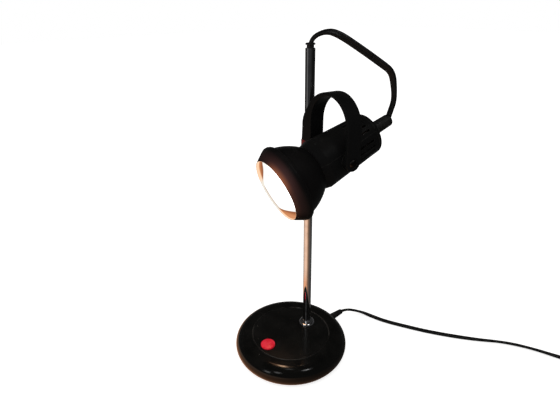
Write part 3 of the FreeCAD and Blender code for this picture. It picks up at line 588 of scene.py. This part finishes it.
# %% Effect: moulded grain
moulded_grain, given, result = new_effect("moulded_grain", [("Size", 0.0005)], ["Height"])
how_often = sum_of(moulded_grain, "DIVIDE", 1.0, given["Size"])
cells = add(moulded_grain, "TexVoronoi", Vector=on_object(moulded_grain), Scale=how_often)
cells.feature = "SMOOTH_F1"
soft = noise(moulded_grain, how_often, 2.0)
feed(moulded_grain, result["Height"], sum_of(moulded_grain, "ADD", cells.outputs[0], soft))
tell("moulded grain", moulded_grain)

# %% [markdown]
# ### Specks
#
# Dust and pits are both small separate spots. A Voronoi texture cuts space into cells. Each cell has a
# random colour, and only cells below a chosen share get a spot round their middle.

# %% Effect: specks
specks, given, result = new_effect(
    "specks", [("Spacing", 0.004), ("Share", 0.3), ("Size", 0.15)], ["Mask"]
)
how_often = sum_of(specks, "DIVIDE", 1.0, given["Spacing"])
cells = add(specks, "TexVoronoi", Vector=on_object(specks), Scale=how_often)
chance = add(specks, "SeparateColor", Color=cells.outputs["Color"])
chosen = sum_of(specks, "LESS_THAN", chance.outputs["Red"], given["Share"])
own_size = times(specks, given["Size"], chance.outputs["Green"])
inside = sum_of(specks, "LESS_THAN", cells.outputs["Distance"], own_size)
feed(specks, result["Mask"], times(specks, chosen, inside))
tell("specks", specks)

# %% [markdown]
# ### Dust
#
# Dust lies on what faces up. The upward part of the surface's normal is the mask, and inside it there
# is a thin uneven film and, on top of that, separate specks.

# %% Effect: dust
dust, given, result = new_effect("dust", [("Film", 0.02), ("Specks", 0.05)], ["Mask"])
direction = add(dust, "SeparateXYZ", Vector=add(dust, "NewGeometry").outputs["Normal"])
upward = ramp(dust, direction.outputs["Z"], 0.35, 1.0)
clouds = ramp(dust, noise(dust, 45.0, 5.0, Roughness=0.6), 0.3, 0.75)
grit = place_effect(dust, specks, Spacing=0.0032, Share=given["Specks"], Size=0.11)["Mask"]
layer = sum_of(dust, "MAXIMUM", times(dust, clouds, given["Film"]), times(dust, grit, 0.6))
feed(dust, result["Mask"], times(dust, layer, upward))
tell("dust", dust)

# %% [markdown]
# ### Worn edges
#
# Outer edges are polished by handling. A Bevel node gives the normal that a rounded edge would have.
# Where it leaves the true normal there is an edge, and a noise breaks the line up.

# %% Effect: worn edges
worn_edges, given, result = new_effect("worn_edges", [("Width", 0.0006), ("Amount", 0.5)], ["Mask"])
true_normal = add(worn_edges, "NewGeometry").outputs["Normal"]
rounded = add(worn_edges, "Bevel", samples=4, Radius=given["Width"])
agree = vector_sum(worn_edges, "DOT_PRODUCT", true_normal, rounded.outputs[0])
edge = ramp(worn_edges, agree, 0.995, 0.86)
patches = ramp(worn_edges, noise(worn_edges, 220.0, 4.0), 0.35, 0.6)
feed(worn_edges, result["Mask"], times(worn_edges, edge, patches, given["Amount"]))
tell("worn edges", worn_edges)

# %% [markdown]
# ### Hairlines
#
# Wiping and turning leave fine parallel scratches. A noise that is stretched along the vertical gives
# lines that run up and down, and one stretched across gives rings.

# %% Effect: hairlines
hairlines, given, result = new_effect("hairlines", [("Across", 3000.0), ("Along", 40.0)], ["Height"])
density = add(hairlines, "CombineXYZ", X=given["Across"], Y=given["Across"], Z=given["Along"])
scaled = vector_sum(hairlines, "MULTIPLY", on_object(hairlines), density.outputs[0])
lines = add(hairlines, "TexNoise", Vector=scaled, Scale=1.0, Detail=3.0)
feed(hairlines, result["Height"], lines.outputs[0])
tell("hairlines", hairlines)

# %% [markdown]
# ### Where a point is on the head
#
# The shade and the bulb are round about one tilted axis. Their finishes change with the distance from
# that axis and with the station, which is how far back from the opening a point lies. Both follow from
# the point, the opening's middle and the axis. Two more outputs run from -1 to 1 over the opening's
# face: Slant from its upper left to its lower right, and Outer from its lower left to its upper right.
# The last output is 1 at the two ends of the slant, where the bulb's edge would keep its light from the
# lip; there the lip gets a painted shade of peach.

# %% Effect: place on the head
opening_middle = Vector((32.28, -44.28, 242.9)) * millimetre
head_axis = Vector((0.1453, 0.9278, 0.3437)).normalized()
opening_radius = 0.0319
face_reach = 0.032
lower_right = Vector((0.75, 0.1, -0.66))
upper_right = Vector((0.66, 0.1, 0.75))


def over_face(tree, offset, towards):
    """How far a point lies this way over the opening's face: -1 to 1 from edge to edge."""
    flat = (towards - head_axis * towards.dot(head_axis)).normalized()
    return sum_of(tree, "DIVIDE", vector_sum(tree, "DOT_PRODUCT", offset, flat), face_reach)


on_head, _, result = new_effect("on_head", [], ["Station", "Radius", "Slant", "Outer", "Painted_Shade_Ends"])
offset = vector_sum(on_head, "SUBTRACT", on_object(on_head), opening_middle)
aside = vector_sum(on_head, "CROSS_PRODUCT", offset, head_axis)
slant = over_face(on_head, offset, lower_right)
at_upper_end = ramp(on_head, slant, -0.82, -0.6, 1.0, 0.0)
# Mask for the painted shade at both ends of the slant.
painted_shade_ends = sum_of(on_head, "MAXIMUM", at_upper_end, ramp(on_head, slant, 0.25, 0.5))
feed(on_head, result["Station"], vector_sum(on_head, "DOT_PRODUCT", offset, head_axis))
feed(on_head, result["Radius"], vector_sum(on_head, "LENGTH", aside))
feed(on_head, result["Slant"], slant)
feed(on_head, result["Outer"], over_face(on_head, offset, upper_right))
feed(on_head, result["Painted_Shade_Ends"], painted_shade_ends)
tell("place on the head", on_head)

# %% [markdown]
# ## Black lacquer of the foot
#
# The foot is the shiniest black piece. Black things look black because they send back little light, so
# the colour is close to nothing and the highlights do the work. The flat middle, which hands touch, is
# a little duller than the rim. Two thin light lines, broken up by a noise, run along the edges of the
# shallow ring groove.

# %% Finish: base lacquer
tree, shader = new_finish("base_lacquer", Specular_IOR_Level=0.24)
groove_radius = 0.0485
groove_half_width = 0.00045
from_middle = vector_sum(tree, "LENGTH", vector_sum(tree, "MULTIPLY", on_object(tree), (1, 1, 0)))
inside_ring = ramp(tree, from_middle, groove_radius - 0.0001, groove_radius + 0.0001, 1.0, 0.0)
lacquer_colour = mixed(tree, inside_ring, linear(10, 10, 9), linear(12, 12, 11))
line_breaks = ramp(tree, noise(tree, 28.0, 3.0), 0.4, 0.62, 0.12, 1.0)
for line_radius in (groove_radius - groove_half_width, groove_radius + groove_half_width):
    distance = sum_of(tree, "ABSOLUTE", sum_of(tree, "SUBTRACT", from_middle, line_radius))
    line = ramp(tree, distance, 0.00006, 0.00026, 0.45, 0.0)
    lacquer_colour = mixed(tree, times(tree, line, line_breaks), lacquer_colour, linear(96, 92, 86))
settled = place_effect(tree, dust, Film=0.01, Specks=0.04)["Mask"]
lacquer_colour = mixed(tree, settled, lacquer_colour, linear(168, 160, 148))
gloss = place_effect(tree, uneven_gloss, Smooth=0.08, Rough=0.15, Patch=0.03)["Roughness"]
gloss = sum_of(tree, "MULTIPLY_ADD", inside_ring, 0.1, gloss)
gloss = sum_of(tree, "ADD", gloss, settled, clamp=True)
give(tree, shader, Base_Color=lacquer_colour, Roughness=gloss)
bump(tree, shader, place_effect(tree, moulded_grain, Size=0.0022)["Height"], 0.000004)
tell("base lacquer", tree)

# %% [markdown]
# ## Black plastic of the yoke and housing
#
# These are moulded parts with a satin surface. The fine grain spreads the highlights into soft grey
# streaks along the edges, and the edges themselves are rubbed a little lighter.

# %% Finish: black plastic
def satin_black(name, colour, smooth, rough, grain_size, grain_depth, edge_amount, specular):
    """Moulded black plastic with its own gloss, grain and wear."""
    tree, shader = new_finish(name, Specular_IOR_Level=specular)
    edge = place_effect(tree, worn_edges, Width=0.0007, Amount=edge_amount)["Mask"]
    body = mixed(tree, edge, colour, linear(58, 56, 54))
    settled = place_effect(tree, dust, Film=0.012, Specks=0.03)["Mask"]
    body = mixed(tree, settled, body, linear(150, 142, 132))
    gloss = place_effect(tree, uneven_gloss, Smooth=smooth, Rough=rough, Patch=0.018)["Roughness"]
    give(tree, shader, Base_Color=body, Roughness=sum_of(tree, "MULTIPLY_ADD", edge, -0.1, gloss))
    bump(tree, shader, place_effect(tree, moulded_grain, Size=grain_size)["Height"], grain_depth)
    tell(name, tree)
    return tree, shader, body


satin_black("black_plastic", linear(15, 15, 15), 0.34, 0.48, 0.0006, 0.00002, 0.4, 0.06)

# %% [markdown]
# ## Shade
#
# The bell and the ring are sprayed a warmer satin black. Inside the opening, light and shade on the ring
# are painted and given out as light: painted light, white along the middle, and painted shade, brown at
# both ends of the slant, where the bulb's own edge would hide the ring. Each brown patch is a crescent
# between the peach lip and the bulb. On the outside beside the opening a painted glow stands in for the
# bulb's light on the ring: orange at the edge and dark red further out. One finish serves both pieces,
# because station and radius say where a point is.

# %% Finish: shade
tree, shader, body = satin_black("shade_black", linear(14, 13, 13), 0.34, 0.46, 0.0005, 0.000012, 0.3, 0.06)
head = place_effect(tree, on_head)
flare_starts = 0.0025
flare_slope = 0.33
wall_starts = opening_radius + 0.0002
wall_widest = 0.0356
lip_depth = 0.002
flare = sum_of(tree, "MAXIMUM", 0.0, sum_of(tree, "SUBTRACT", head["Station"], flare_starts))
wall_radius = sum_of(tree, "MULTIPLY_ADD", flare, flare_slope, wall_starts)
wall_radius = sum_of(tree, "MINIMUM", wall_radius, wall_widest)
within = sum_of(tree, "LESS_THAN", head["Radius"], wall_radius)
# Painted light and shade on the ring's inside: white in the middle, brown at both ends of the slant, pale
# or peach at the lip.
throat = times(tree, within, ramp(tree, head["Station"], 0.0135, 0.0162, 1.0, 0.0))
upper_patch = ramp(tree, head["Slant"], -1.0, -0.55, 0.0085, lip_depth)
lower_patch = ramp(tree, head["Slant"], 0.25, 1.0, lip_depth, 0.017)
patch_depth = sum_of(tree, "MAXIMUM", upper_patch, lower_patch)
depth = sum_of(tree, "DIVIDE", head["Station"], patch_depth)
brown = mixed(tree, ramp(tree, depth, 0.3, 0.95), linear(200, 128, 78), linear(140, 74, 34))
wall = mixed(tree, ramp(tree, depth, 0.9, 1.1), brown, linear(255, 255, 250))
lip_end = ramp(tree, head["Slant"], -0.75, -0.45, 0.0042, lip_depth)
lip = ramp(tree, sum_of(tree, "DIVIDE", head["Station"], lip_end), 0.55, 1.0, 1.0, 0.0)
painted_lip_light = mixed(tree, head["Painted_Shade_Ends"], linear(232, 226, 214), linear(250, 206, 168))
painted_throat_light = mixed(tree, lip, wall, painted_lip_light)
throat_paint_and_light = mixed(tree, 0.95, painted_throat_light, black)
# Painted glow beside the opening: orange at the edge, dark red further out, strongest towards the upper
# right.
across_face = sum_of(tree, "SUBTRACT", head["Radius"], opening_radius)
near_edge = times(
    tree,
    ramp(tree, across_face, 0.0, 0.004, 1.0, 0.0),
    ramp(tree, head["Slant"], -0.7, -0.1),
    ramp(tree, head["Slant"], 0.05, 0.6, 1.0, 0.12),
)
middle = ramp(tree, sum_of(tree, "ABSOLUTE", head["Slant"]), 0.1, 0.9, 1.0, 0.3)
glow = mixed(tree, ramp(tree, across_face, 0.002, 0.0085), linear(64, 39, 37), black)
glow = mixed(tree, middle, black, glow)
glow = mixed(tree, near_edge, glow, linear(146, 86, 58))
on_ring = ramp(tree, head["Station"], 0.0085, 0.0125, 1.0, 0.0)
side = times(tree, ramp(tree, head["Outer"], -0.1, 0.8), on_ring)
glow = mixed(tree, side, black, glow)
# The painted light inside and the painted glow outside are given out as emission; the base colour inside is
# nearly black.
lit = mixed(tree, throat, glow, painted_throat_light)
painted = mixed(tree, throat, body, throat_paint_and_light)
give(tree, shader, Base_Color=painted, Emission_Color=lit, Emission_Strength=1.0)
tell("shade with its glow", tree)

# %% [markdown]
# ## Red plastic
#
# The button and the clamp collar are coloured through, and glossier than the black parts. The pigment
# is slightly uneven, and the edges look paler where the surface is scuffed. The collar, which sits in
# the head's shade, gets a painted shade: the red turns darker with the height above the table.

# %% Finish: red plastic
tree, shader = new_finish("red_plastic", Specular_IOR_Level=0.3)
clouds = ramp(tree, noise(tree, 160.0, 4.0), 0.35, 0.65)
red = mixed(tree, clouds, linear(236, 26, 48), linear(248, 42, 64))
edge = place_effect(tree, worn_edges, Width=0.0006, Amount=0.3)["Mask"]
red = mixed(tree, edge, red, linear(240, 96, 104))
height = add(tree, "SeparateXYZ", Vector=on_object(tree)).outputs["Z"]
# Painted shade: above 0.1 m the red darkens, for the collar in the head's shade.
red = mixed(tree, ramp(tree, height, 0.1, 0.2), red, linear(112, 26, 28))
settled = place_effect(tree, dust, Film=0.01, Specks=0.03)["Mask"]
red = mixed(tree, settled, red, linear(214, 170, 160))
gloss = place_effect(tree, uneven_gloss, Smooth=0.22, Rough=0.34, Patch=0.012)["Roughness"]
give(tree, shader, Base_Color=red, Roughness=gloss)
bump(tree, shader, place_effect(tree, moulded_grain, Size=0.0007)["Height"], 0.00001)
tell("red plastic", tree)

# %% [markdown]
# ## Metals
#
# A metal has no colour of its own apart from what it reflects, so Metallic is 1 and the base colour
# tints the reflection. Old chrome has pits, which are dark specks, and hairlines from wiping. Close to
# the foot, where dust and cloths gather, it has gone satin. Zinc is greyer and rougher, and brass is
# yellow with brown patches.

# %% Finishes: chrome, zinc, dark steel, brass and plug pins
collar_top = 0.031


def metal(name, bright, dull, smooth, rough, pits, line_depth, low_wear=0.0):
    """Metal between a bright and a dull colour, with pits and hairlines, duller near the foot."""
    tree, shader = new_finish(name, Metallic=1.0)
    colour = mixed(tree, ramp(tree, noise(tree, 90.0, 5.0), 0.4, 0.7), bright, dull)
    spots = place_effect(tree, specks, Spacing=0.0016, Share=pits, Size=0.22)["Mask"]
    colour = mixed(tree, times(tree, spots, 0.7), colour, linear(40, 34, 28))
    gloss = place_effect(tree, uneven_gloss, Smooth=smooth, Rough=rough, Patch=0.01)["Roughness"]
    height = add(tree, "SeparateXYZ", Vector=on_object(tree)).outputs["Z"]
    gloss = sum_of(tree, "ADD", gloss, ramp(tree, height, collar_top, collar_top + 0.003, low_wear, 0.0))
    give(tree, shader, Base_Color=colour, Roughness=sum_of(tree, "MULTIPLY_ADD", spots, 0.3, gloss))
    bump(tree, shader, place_effect(tree, hairlines, Across=3500.0, Along=60.0)["Height"], line_depth)
    tell(name, tree)


metal("chrome", linear(226, 226, 228), linear(208, 208, 210), 0.03, 0.08, 0.12, 0.000001, 0.14)
metal("zinc_steel", linear(150, 150, 148), linear(116, 116, 114), 0.28, 0.42, 0.1, 0.000006)
metal("black_steel", linear(52, 50, 48), linear(34, 33, 32), 0.3, 0.45, 0.05, 0.000005)
metal("bulb_brass", linear(206, 168, 98), linear(150, 112, 60), 0.25, 0.4, 0.12, 0.000004)
metal("plug_metal", linear(200, 196, 186), linear(170, 164, 150), 0.15, 0.28, 0.06, 0.000004)

# %% [markdown]
# ## Bulb
#
# The lamp is on. The frosted face of the reflector bulb gives out light: white in the middle, and
# yellower towards both ends of the slant. Behind the widest place the glass is silvered inside, which
# looks like pale metal and gives out no light.

# %% Finish: frosted bulb
tree, shader = new_finish("bulb_frost", Roughness=0.4, Emission_Strength=2.5)
head = place_effect(tree, on_head)
ends = ramp(tree, sum_of(tree, "ABSOLUTE", head["Slant"]), 0.55, 0.92)
light = mixed(tree, ends, white, (0.42, 0.4, 0.24, 1.0))
front = ramp(tree, head["Station"], 0.0165, 0.02, 1.0, 0.0)
glass = mixed(tree, front, linear(190, 190, 188), linear(225, 222, 214))
silvered = ramp(tree, head["Station"], 0.018, 0.021)
give(tree, shader, Base_Color=glass, Metallic=silvered, Emission_Color=mixed(tree, front, black, light))
bump(tree, shader, noise(tree, 900.0, 4.0), 0.00001)
tell("bulb", tree)

# %% [markdown]
# ## Rubber, flex and plug
#
# Cable bushes are matt rubber with a grey bloom. The flex is softer and smoother, with a slight sheen
# along its cores, and the moulded plug has a coarser grain. One function makes all of them, because
# they differ only in how rough, how grainy and how bloomed they are.

# %% Finishes: rubber, flex, plug
def soft_black(name, colour, bloom, smooth, rough, grain_size, grain_depth, specular):
    """Rubber or soft plastic, with a bloom that sits in patches."""
    tree, shader = new_finish(name, Specular_IOR_Level=specular)
    patches = ramp(tree, noise(tree, 130.0, 6.0, Roughness=0.65), 0.42, 0.72)
    settled = place_effect(tree, dust, Film=0.03, Specks=0.04)["Mask"]
    body = mixed(tree, settled, mixed(tree, patches, colour, bloom), linear(130, 124, 116))
    gloss = place_effect(tree, uneven_gloss, Smooth=smooth, Rough=rough, Patch=0.008)["Roughness"]
    give(tree, shader, Base_Color=body, Roughness=gloss)
    bump(tree, shader, place_effect(tree, moulded_grain, Size=grain_size)["Height"], grain_depth)
    tell(name, tree)


soft_black("black_rubber", linear(16, 16, 16), linear(30, 29, 28), 0.5, 0.68, 0.0007, 0.00004, 0.35)
soft_black("flex_black", linear(11, 11, 11), linear(17, 17, 17), 0.34, 0.48, 0.0009, 0.000012, 0.35)
soft_black("plug_black", linear(15, 15, 15), linear(24, 24, 23), 0.4, 0.55, 0.0008, 0.00003, 0.4)

# %% [markdown]
# ## Iron, ceramic and felt
#
# These pieces are inside the foot and the head or under the foot. The weight is a rough casting, the
# lamp holder is dark brown glazed ceramic with specks, and the pad is felt, whose fibres are long thin
# noises laid both ways, with a sheen from the fibre ends that stand up.

# %% Finishes: cast iron, ceramic, felt
tree, shader = new_finish("cast_weight", Metallic=0.4)
rust = ramp(tree, noise(tree, 60.0, 5.0), 0.5, 0.75)
iron = mixed(tree, rust, linear(62, 60, 58), linear(92, 66, 46))
gloss = place_effect(tree, uneven_gloss, Smooth=0.5, Rough=0.75, Patch=0.01)["Roughness"]
give(tree, shader, Base_Color=iron, Roughness=gloss)
bump(tree, shader, noise(tree, 380.0, 6.0, Roughness=0.7), 0.0003)

tree, shader = new_finish("ceramic", Coat_Weight=0.5, Coat_Roughness=0.1)
spots = place_effect(tree, specks, Spacing=0.003, Share=0.3, Size=0.1)["Mask"]
glaze = mixed(tree, spots, linear(44, 34, 29), linear(22, 17, 15))
gloss = place_effect(tree, uneven_gloss, Smooth=0.25, Rough=0.4, Patch=0.008)["Roughness"]
give(tree, shader, Base_Color=glaze, Roughness=gloss)

tree, shader = new_finish("felt", Sheen_Weight=0.4, Sheen_Roughness=0.5)
fibres = place_effect(tree, hairlines, Across=900.0, Along=900.0)["Height"]
tufts = sum_of(tree, "ADD", fibres, noise(tree, 1400.0, 5.0, Distortion=1.5))
felt = mixed(tree, ramp(tree, tufts, 0.8, 1.2), linear(24, 24, 25), linear(52, 52, 54))
give(tree, shader, Base_Color=felt, Roughness=ramp(tree, tufts, 0.8, 1.2, 0.85, 1.0))
bump(tree, shader, tufts, 0.0002)
print("finishes so far:", len(finishes))

# %% [markdown]
# ## Give every piece its finish
#
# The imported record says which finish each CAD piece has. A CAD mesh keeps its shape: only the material
# in its slots changes.

# %% Put the finishes on
slot_of = {entry["node"]: entry["material_slot"] for entry in frame["record"]["subparts"]}
for name, piece in frame["nodes"].items():
    piece.data.materials.clear()
    piece.data.materials.append(finishes[slot_of[name]])
for piece in (mains_flex, lead_upper, lead_lower, coil_tie):
    piece.data.materials.append(finishes[piece["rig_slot"]])
print("slots with a finish:", len(set(slot_of.values())))

# %% [markdown]
# ## Floor
#
# The lamp stands on a plain pale floor. The camera should see it as white with a soft shadow, so the
# floor adds a fixed light of its own for camera rays, and the part from the lamps is what the shadow
# takes away. Polished pieces are another matter: chrome shows its surroundings, and here those are a
# dim studio with a warm patch where the lamp shines on the table. That patch is a painted reflection:
# for mirror rays only, the floor gives out a painted pool of warm lamp light, with painted shade in
# front of the foot. Its colour depends on the direction from the pole, in three rings: orange right
# beside the foot, peach from the left to the front out to half a metre, and only a few grey bands
# further off.

# %% Make the floor
floor_mesh = bpy.data.meshes.new("floor")
floor_reach = 6.0
floor_corners = [(-1, -1, 0), (1, -1, 0), (1, 1, 0), (-1, 1, 0)]
floor_mesh.from_pydata([Vector(corner) * floor_reach for corner in floor_corners], [], [(0, 1, 2, 3)])
floor = into_scene("floor", floor_mesh)


def stops_round(entries):
    """Stops from directions, in degrees counted from straight left round by the front."""
    return [((degrees + 180) / 360, (*colour, 1.0)) for degrees, *colour in entries]


def kinds_of_ray(tree):
    """Two masks: rays from the camera, and rays that a mirror or glass sends on."""
    kinds = add(tree, "LightPath").outputs
    sent_on = sum_of(tree, "MAXIMUM", kinds["Is Glossy Ray"], kinds["Is Transmission Ray"])
    return kinds["Is Camera Ray"], sent_on


beside_look = stops_round([
    (-180, 0.4, 0.2, 0.1), (-150, 0.8, 0.38, 0.2), (-120, 1.15, 0.52, 0.27),
    (-80, 1.0, 0.46, 0.24), (-60, 0.7, 0.33, 0.18), (-42, 0.34, 0.18, 0.11),
    (-18, 0.16, 0.1, 0.07), (0, 0.12, 0.1, 0.09), (35, 0.05, 0.045, 0.04),
    (90, 0.05, 0.05, 0.05), (180, 0.2, 0.15, 0.12),
])
near_look = stops_round([
    (-180, 0.45, 0.34, 0.28), (-150, 0.75, 0.5, 0.36), (-100, 1.15, 0.74, 0.52),
    (-62, 1.05, 0.66, 0.45), (-42, 0.5, 0.3, 0.19), (-18, 0.18, 0.11, 0.07),
    (0, 0.16, 0.12, 0.1), (35, 0.06, 0.055, 0.05), (90, 0.09, 0.1, 0.1),
    (180, 0.3, 0.26, 0.24),
])
far_look = stops_round([
    (-180, 0.02, 0.02, 0.02), (-130, 0.014, 0.013, 0.012), (-115, 0.16, 0.155, 0.15),
    (-98, 0.13, 0.13, 0.13), (-84, 0.025, 0.025, 0.027), (-45, 0.035, 0.035, 0.035),
    (-10, 0.02, 0.02, 0.02), (25, 0.004, 0.004, 0.004), (100, 0.02, 0.02, 0.02),
    (180, 0.05, 0.05, 0.05),
])
tree, shader = new_finish("floor_paper", Roughness=0.9, Specular_IOR_Level=0.0)
camera_rays, mirror_rays = kinds_of_ray(tree)
paper = mixed(tree, mirror_rays, linear(226, 225, 223), black)
from_pole = vector_sum(tree, "SUBTRACT", on_object(tree), pole_foot * millimetre)
turned_by = add(tree, "TexGradient", gradient_type="RADIAL", Vector=from_pole).outputs["Fac"]
how_far = vector_sum(tree, "LENGTH", from_pole)
# Painted reflection seen only by mirror rays: a warm pool of lamp light round the pole, darker in front of
# the foot, grey bands further off.
beside, near, far = (by_stops(tree, turned_by, look) for look in (beside_look, near_look, far_look))
painted_reflection = mixed(tree, ramp(tree, how_far, 0.5, 1.3), near, far)
painted_reflection = mixed(tree, ramp(tree, how_far, 0.12, 0.17), beside, painted_reflection)
to_camera = (0.72, 0.72, 0.72, 1)
own_light = mixed(tree, mirror_rays, to_camera, painted_reflection)
has_light = sum_of(tree, "MAXIMUM", camera_rays, mirror_rays)
give(tree, shader, Base_Color=paper, Emission_Color=own_light, Emission_Strength=has_light)
floor_mesh.materials.append(finishes["floor_paper"])
print("floor: %.0f m across" % (2 * floor_reach))

# %% [markdown]
# ## Room
#
# The camera sees white all round. Matt surfaces get an even light from every side. Polished surfaces
# see a dim room with a pale strip of backdrop behind the lamp, as in a small photo studio: that keeps
# black lacquer black and gives chrome something dark between its bright lines.

# %% Make the room
def mixed_number(tree, share, first, second):
    node = add(tree, "Mix", data_type="FLOAT")
    for socket, value in zip(node.inputs[0:1] + node.inputs[2:4], (share, first, second)):
        feed(tree, socket, value)
    return node.outputs[0]


room = bpy.data.worlds.new("room")
room.use_nodes = True
bpy.context.scene.world = room
tree = room.node_tree
tree.nodes.clear()
out = tree.nodes.new("ShaderNodeOutputWorld")
towards = vector_sum(tree, "NORMALIZE", add(tree, "TexCoord").outputs["Generated"])
backdrop = vector_sum(tree, "DOT_PRODUCT", towards, (-0.784, 0.62, 0.0))
height = add(tree, "SeparateXYZ", Vector=towards).outputs["Z"]
strip = ramp(tree, backdrop, 0.8, 0.97, 0.0, 0.4)
strip = times(tree, strip, ramp(tree, height, 0.05, 0.2, 1.0, 0.0))
dim = ramp(tree, height, 0.0, 0.8, 0.05, 0.012)
seen_in_mirrors = sum_of(tree, "MAXIMUM", strip, dim)
camera_rays, mirror_rays = kinds_of_ray(tree)
ambient = 0.68
strength = mixed_number(tree, mirror_rays, ambient, seen_in_mirrors)
strength = mixed_number(tree, camera_rays, strength, 1.0)
background = add(tree, "Background", Color=white, Strength=strength)
feed(tree, out.inputs["Surface"], background.outputs[0])
print("room light for matt surfaces: %.2f" % ambient)

# %% [markdown]
# ## Lamps
#
# One large soft panel lights the scene from the front left, and only matt surfaces see it. The others
# are the opposite: bright panels that only polished surfaces see, so that they leave no mark but their
# mirror images. They are placed so that those fall where the photograph has its highlights on the
# front of the foot: two small white ones at the left, one at the right, and a warm streak. The warm
# panels hang low over the foot, under the head, so that the head has no patch of that colour. How
# bright a panel looks in a mirror is its power divided by its area and by pi.

# %% Place the lamps
foot_top = Vector((0.02, -0.02, 0.03))
foot_edge = Vector((0.033, -0.047, 0.0245))


def panel(name, aim, towards_lamp, distance, across_size, up_size, brightness, colour=(1, 1, 1)):
    """Light panel that faces a point of the foot from a direction, as bright per area as asked."""
    data = bpy.data.lights.new(name, "AREA")
    data.shape = "RECTANGLE"
    data.size = across_size
    data.size_y = up_size
    data.color = colour
    data.energy = brightness * math.pi * across_size * up_size
    lamp = into_scene(name, data)
    direction = Vector(towards_lamp).normalized()
    lamp.location = aim + direction * distance
    lamp.rotation_euler = direction.to_track_quat("Z", "Y").to_euler()
    lamp.visible_camera = False
    print("%s: %.2f W" % (name, data.energy))
    return lamp


soft_front = panel("soft_front", foot_top, (0.05, -0.88, 0.62), 1.3, 0.6, 0.7, 2.2)
soft_front.visible_glossy = False
mirrored_panels = [
    panel("pane_low", foot_top, (0.09, -0.92, 0.36), 1.3, 0.2, 0.34, 3.4),
    panel("pane_high", foot_top, (0.29, -0.7, 0.65), 1.3, 0.2, 0.3, 3.2),
    panel("window_right", foot_top, (0.47, 0.05, 0.88), 1.2, 0.16, 0.2, 10.0),
    panel("amber_low", foot_edge, (-0.375, 0.295, 0.88), 0.16, 0.013, 0.044, 20.0, (1.0, 0.66, 0.42)),
    panel("amber_dim", foot_edge, (-0.43, 0.3, 0.85), 0.17, 0.03, 0.06, 3.0, (1.0, 0.5, 0.27)),
]
for lamp in mirrored_panels:
    lamp.visible_diffuse = False

# %% [markdown]
# ## Button spring
#
# The return spring stands between the switch and the button. When the button goes down, the spring gets
# shorter by the button's travel. Here the spring only gets a mesh of its own.

# %% Give the spring a mesh of its own
spring = frame["nodes"]["switch_spring"]
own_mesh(spring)

# %% [markdown]
# ## View
#
# The Standard view shows colours as they are, with no film curve.

# %% Set the view
bpy.context.scene.view_settings.view_transform = "Standard"
bpy.context.view_layer.update()
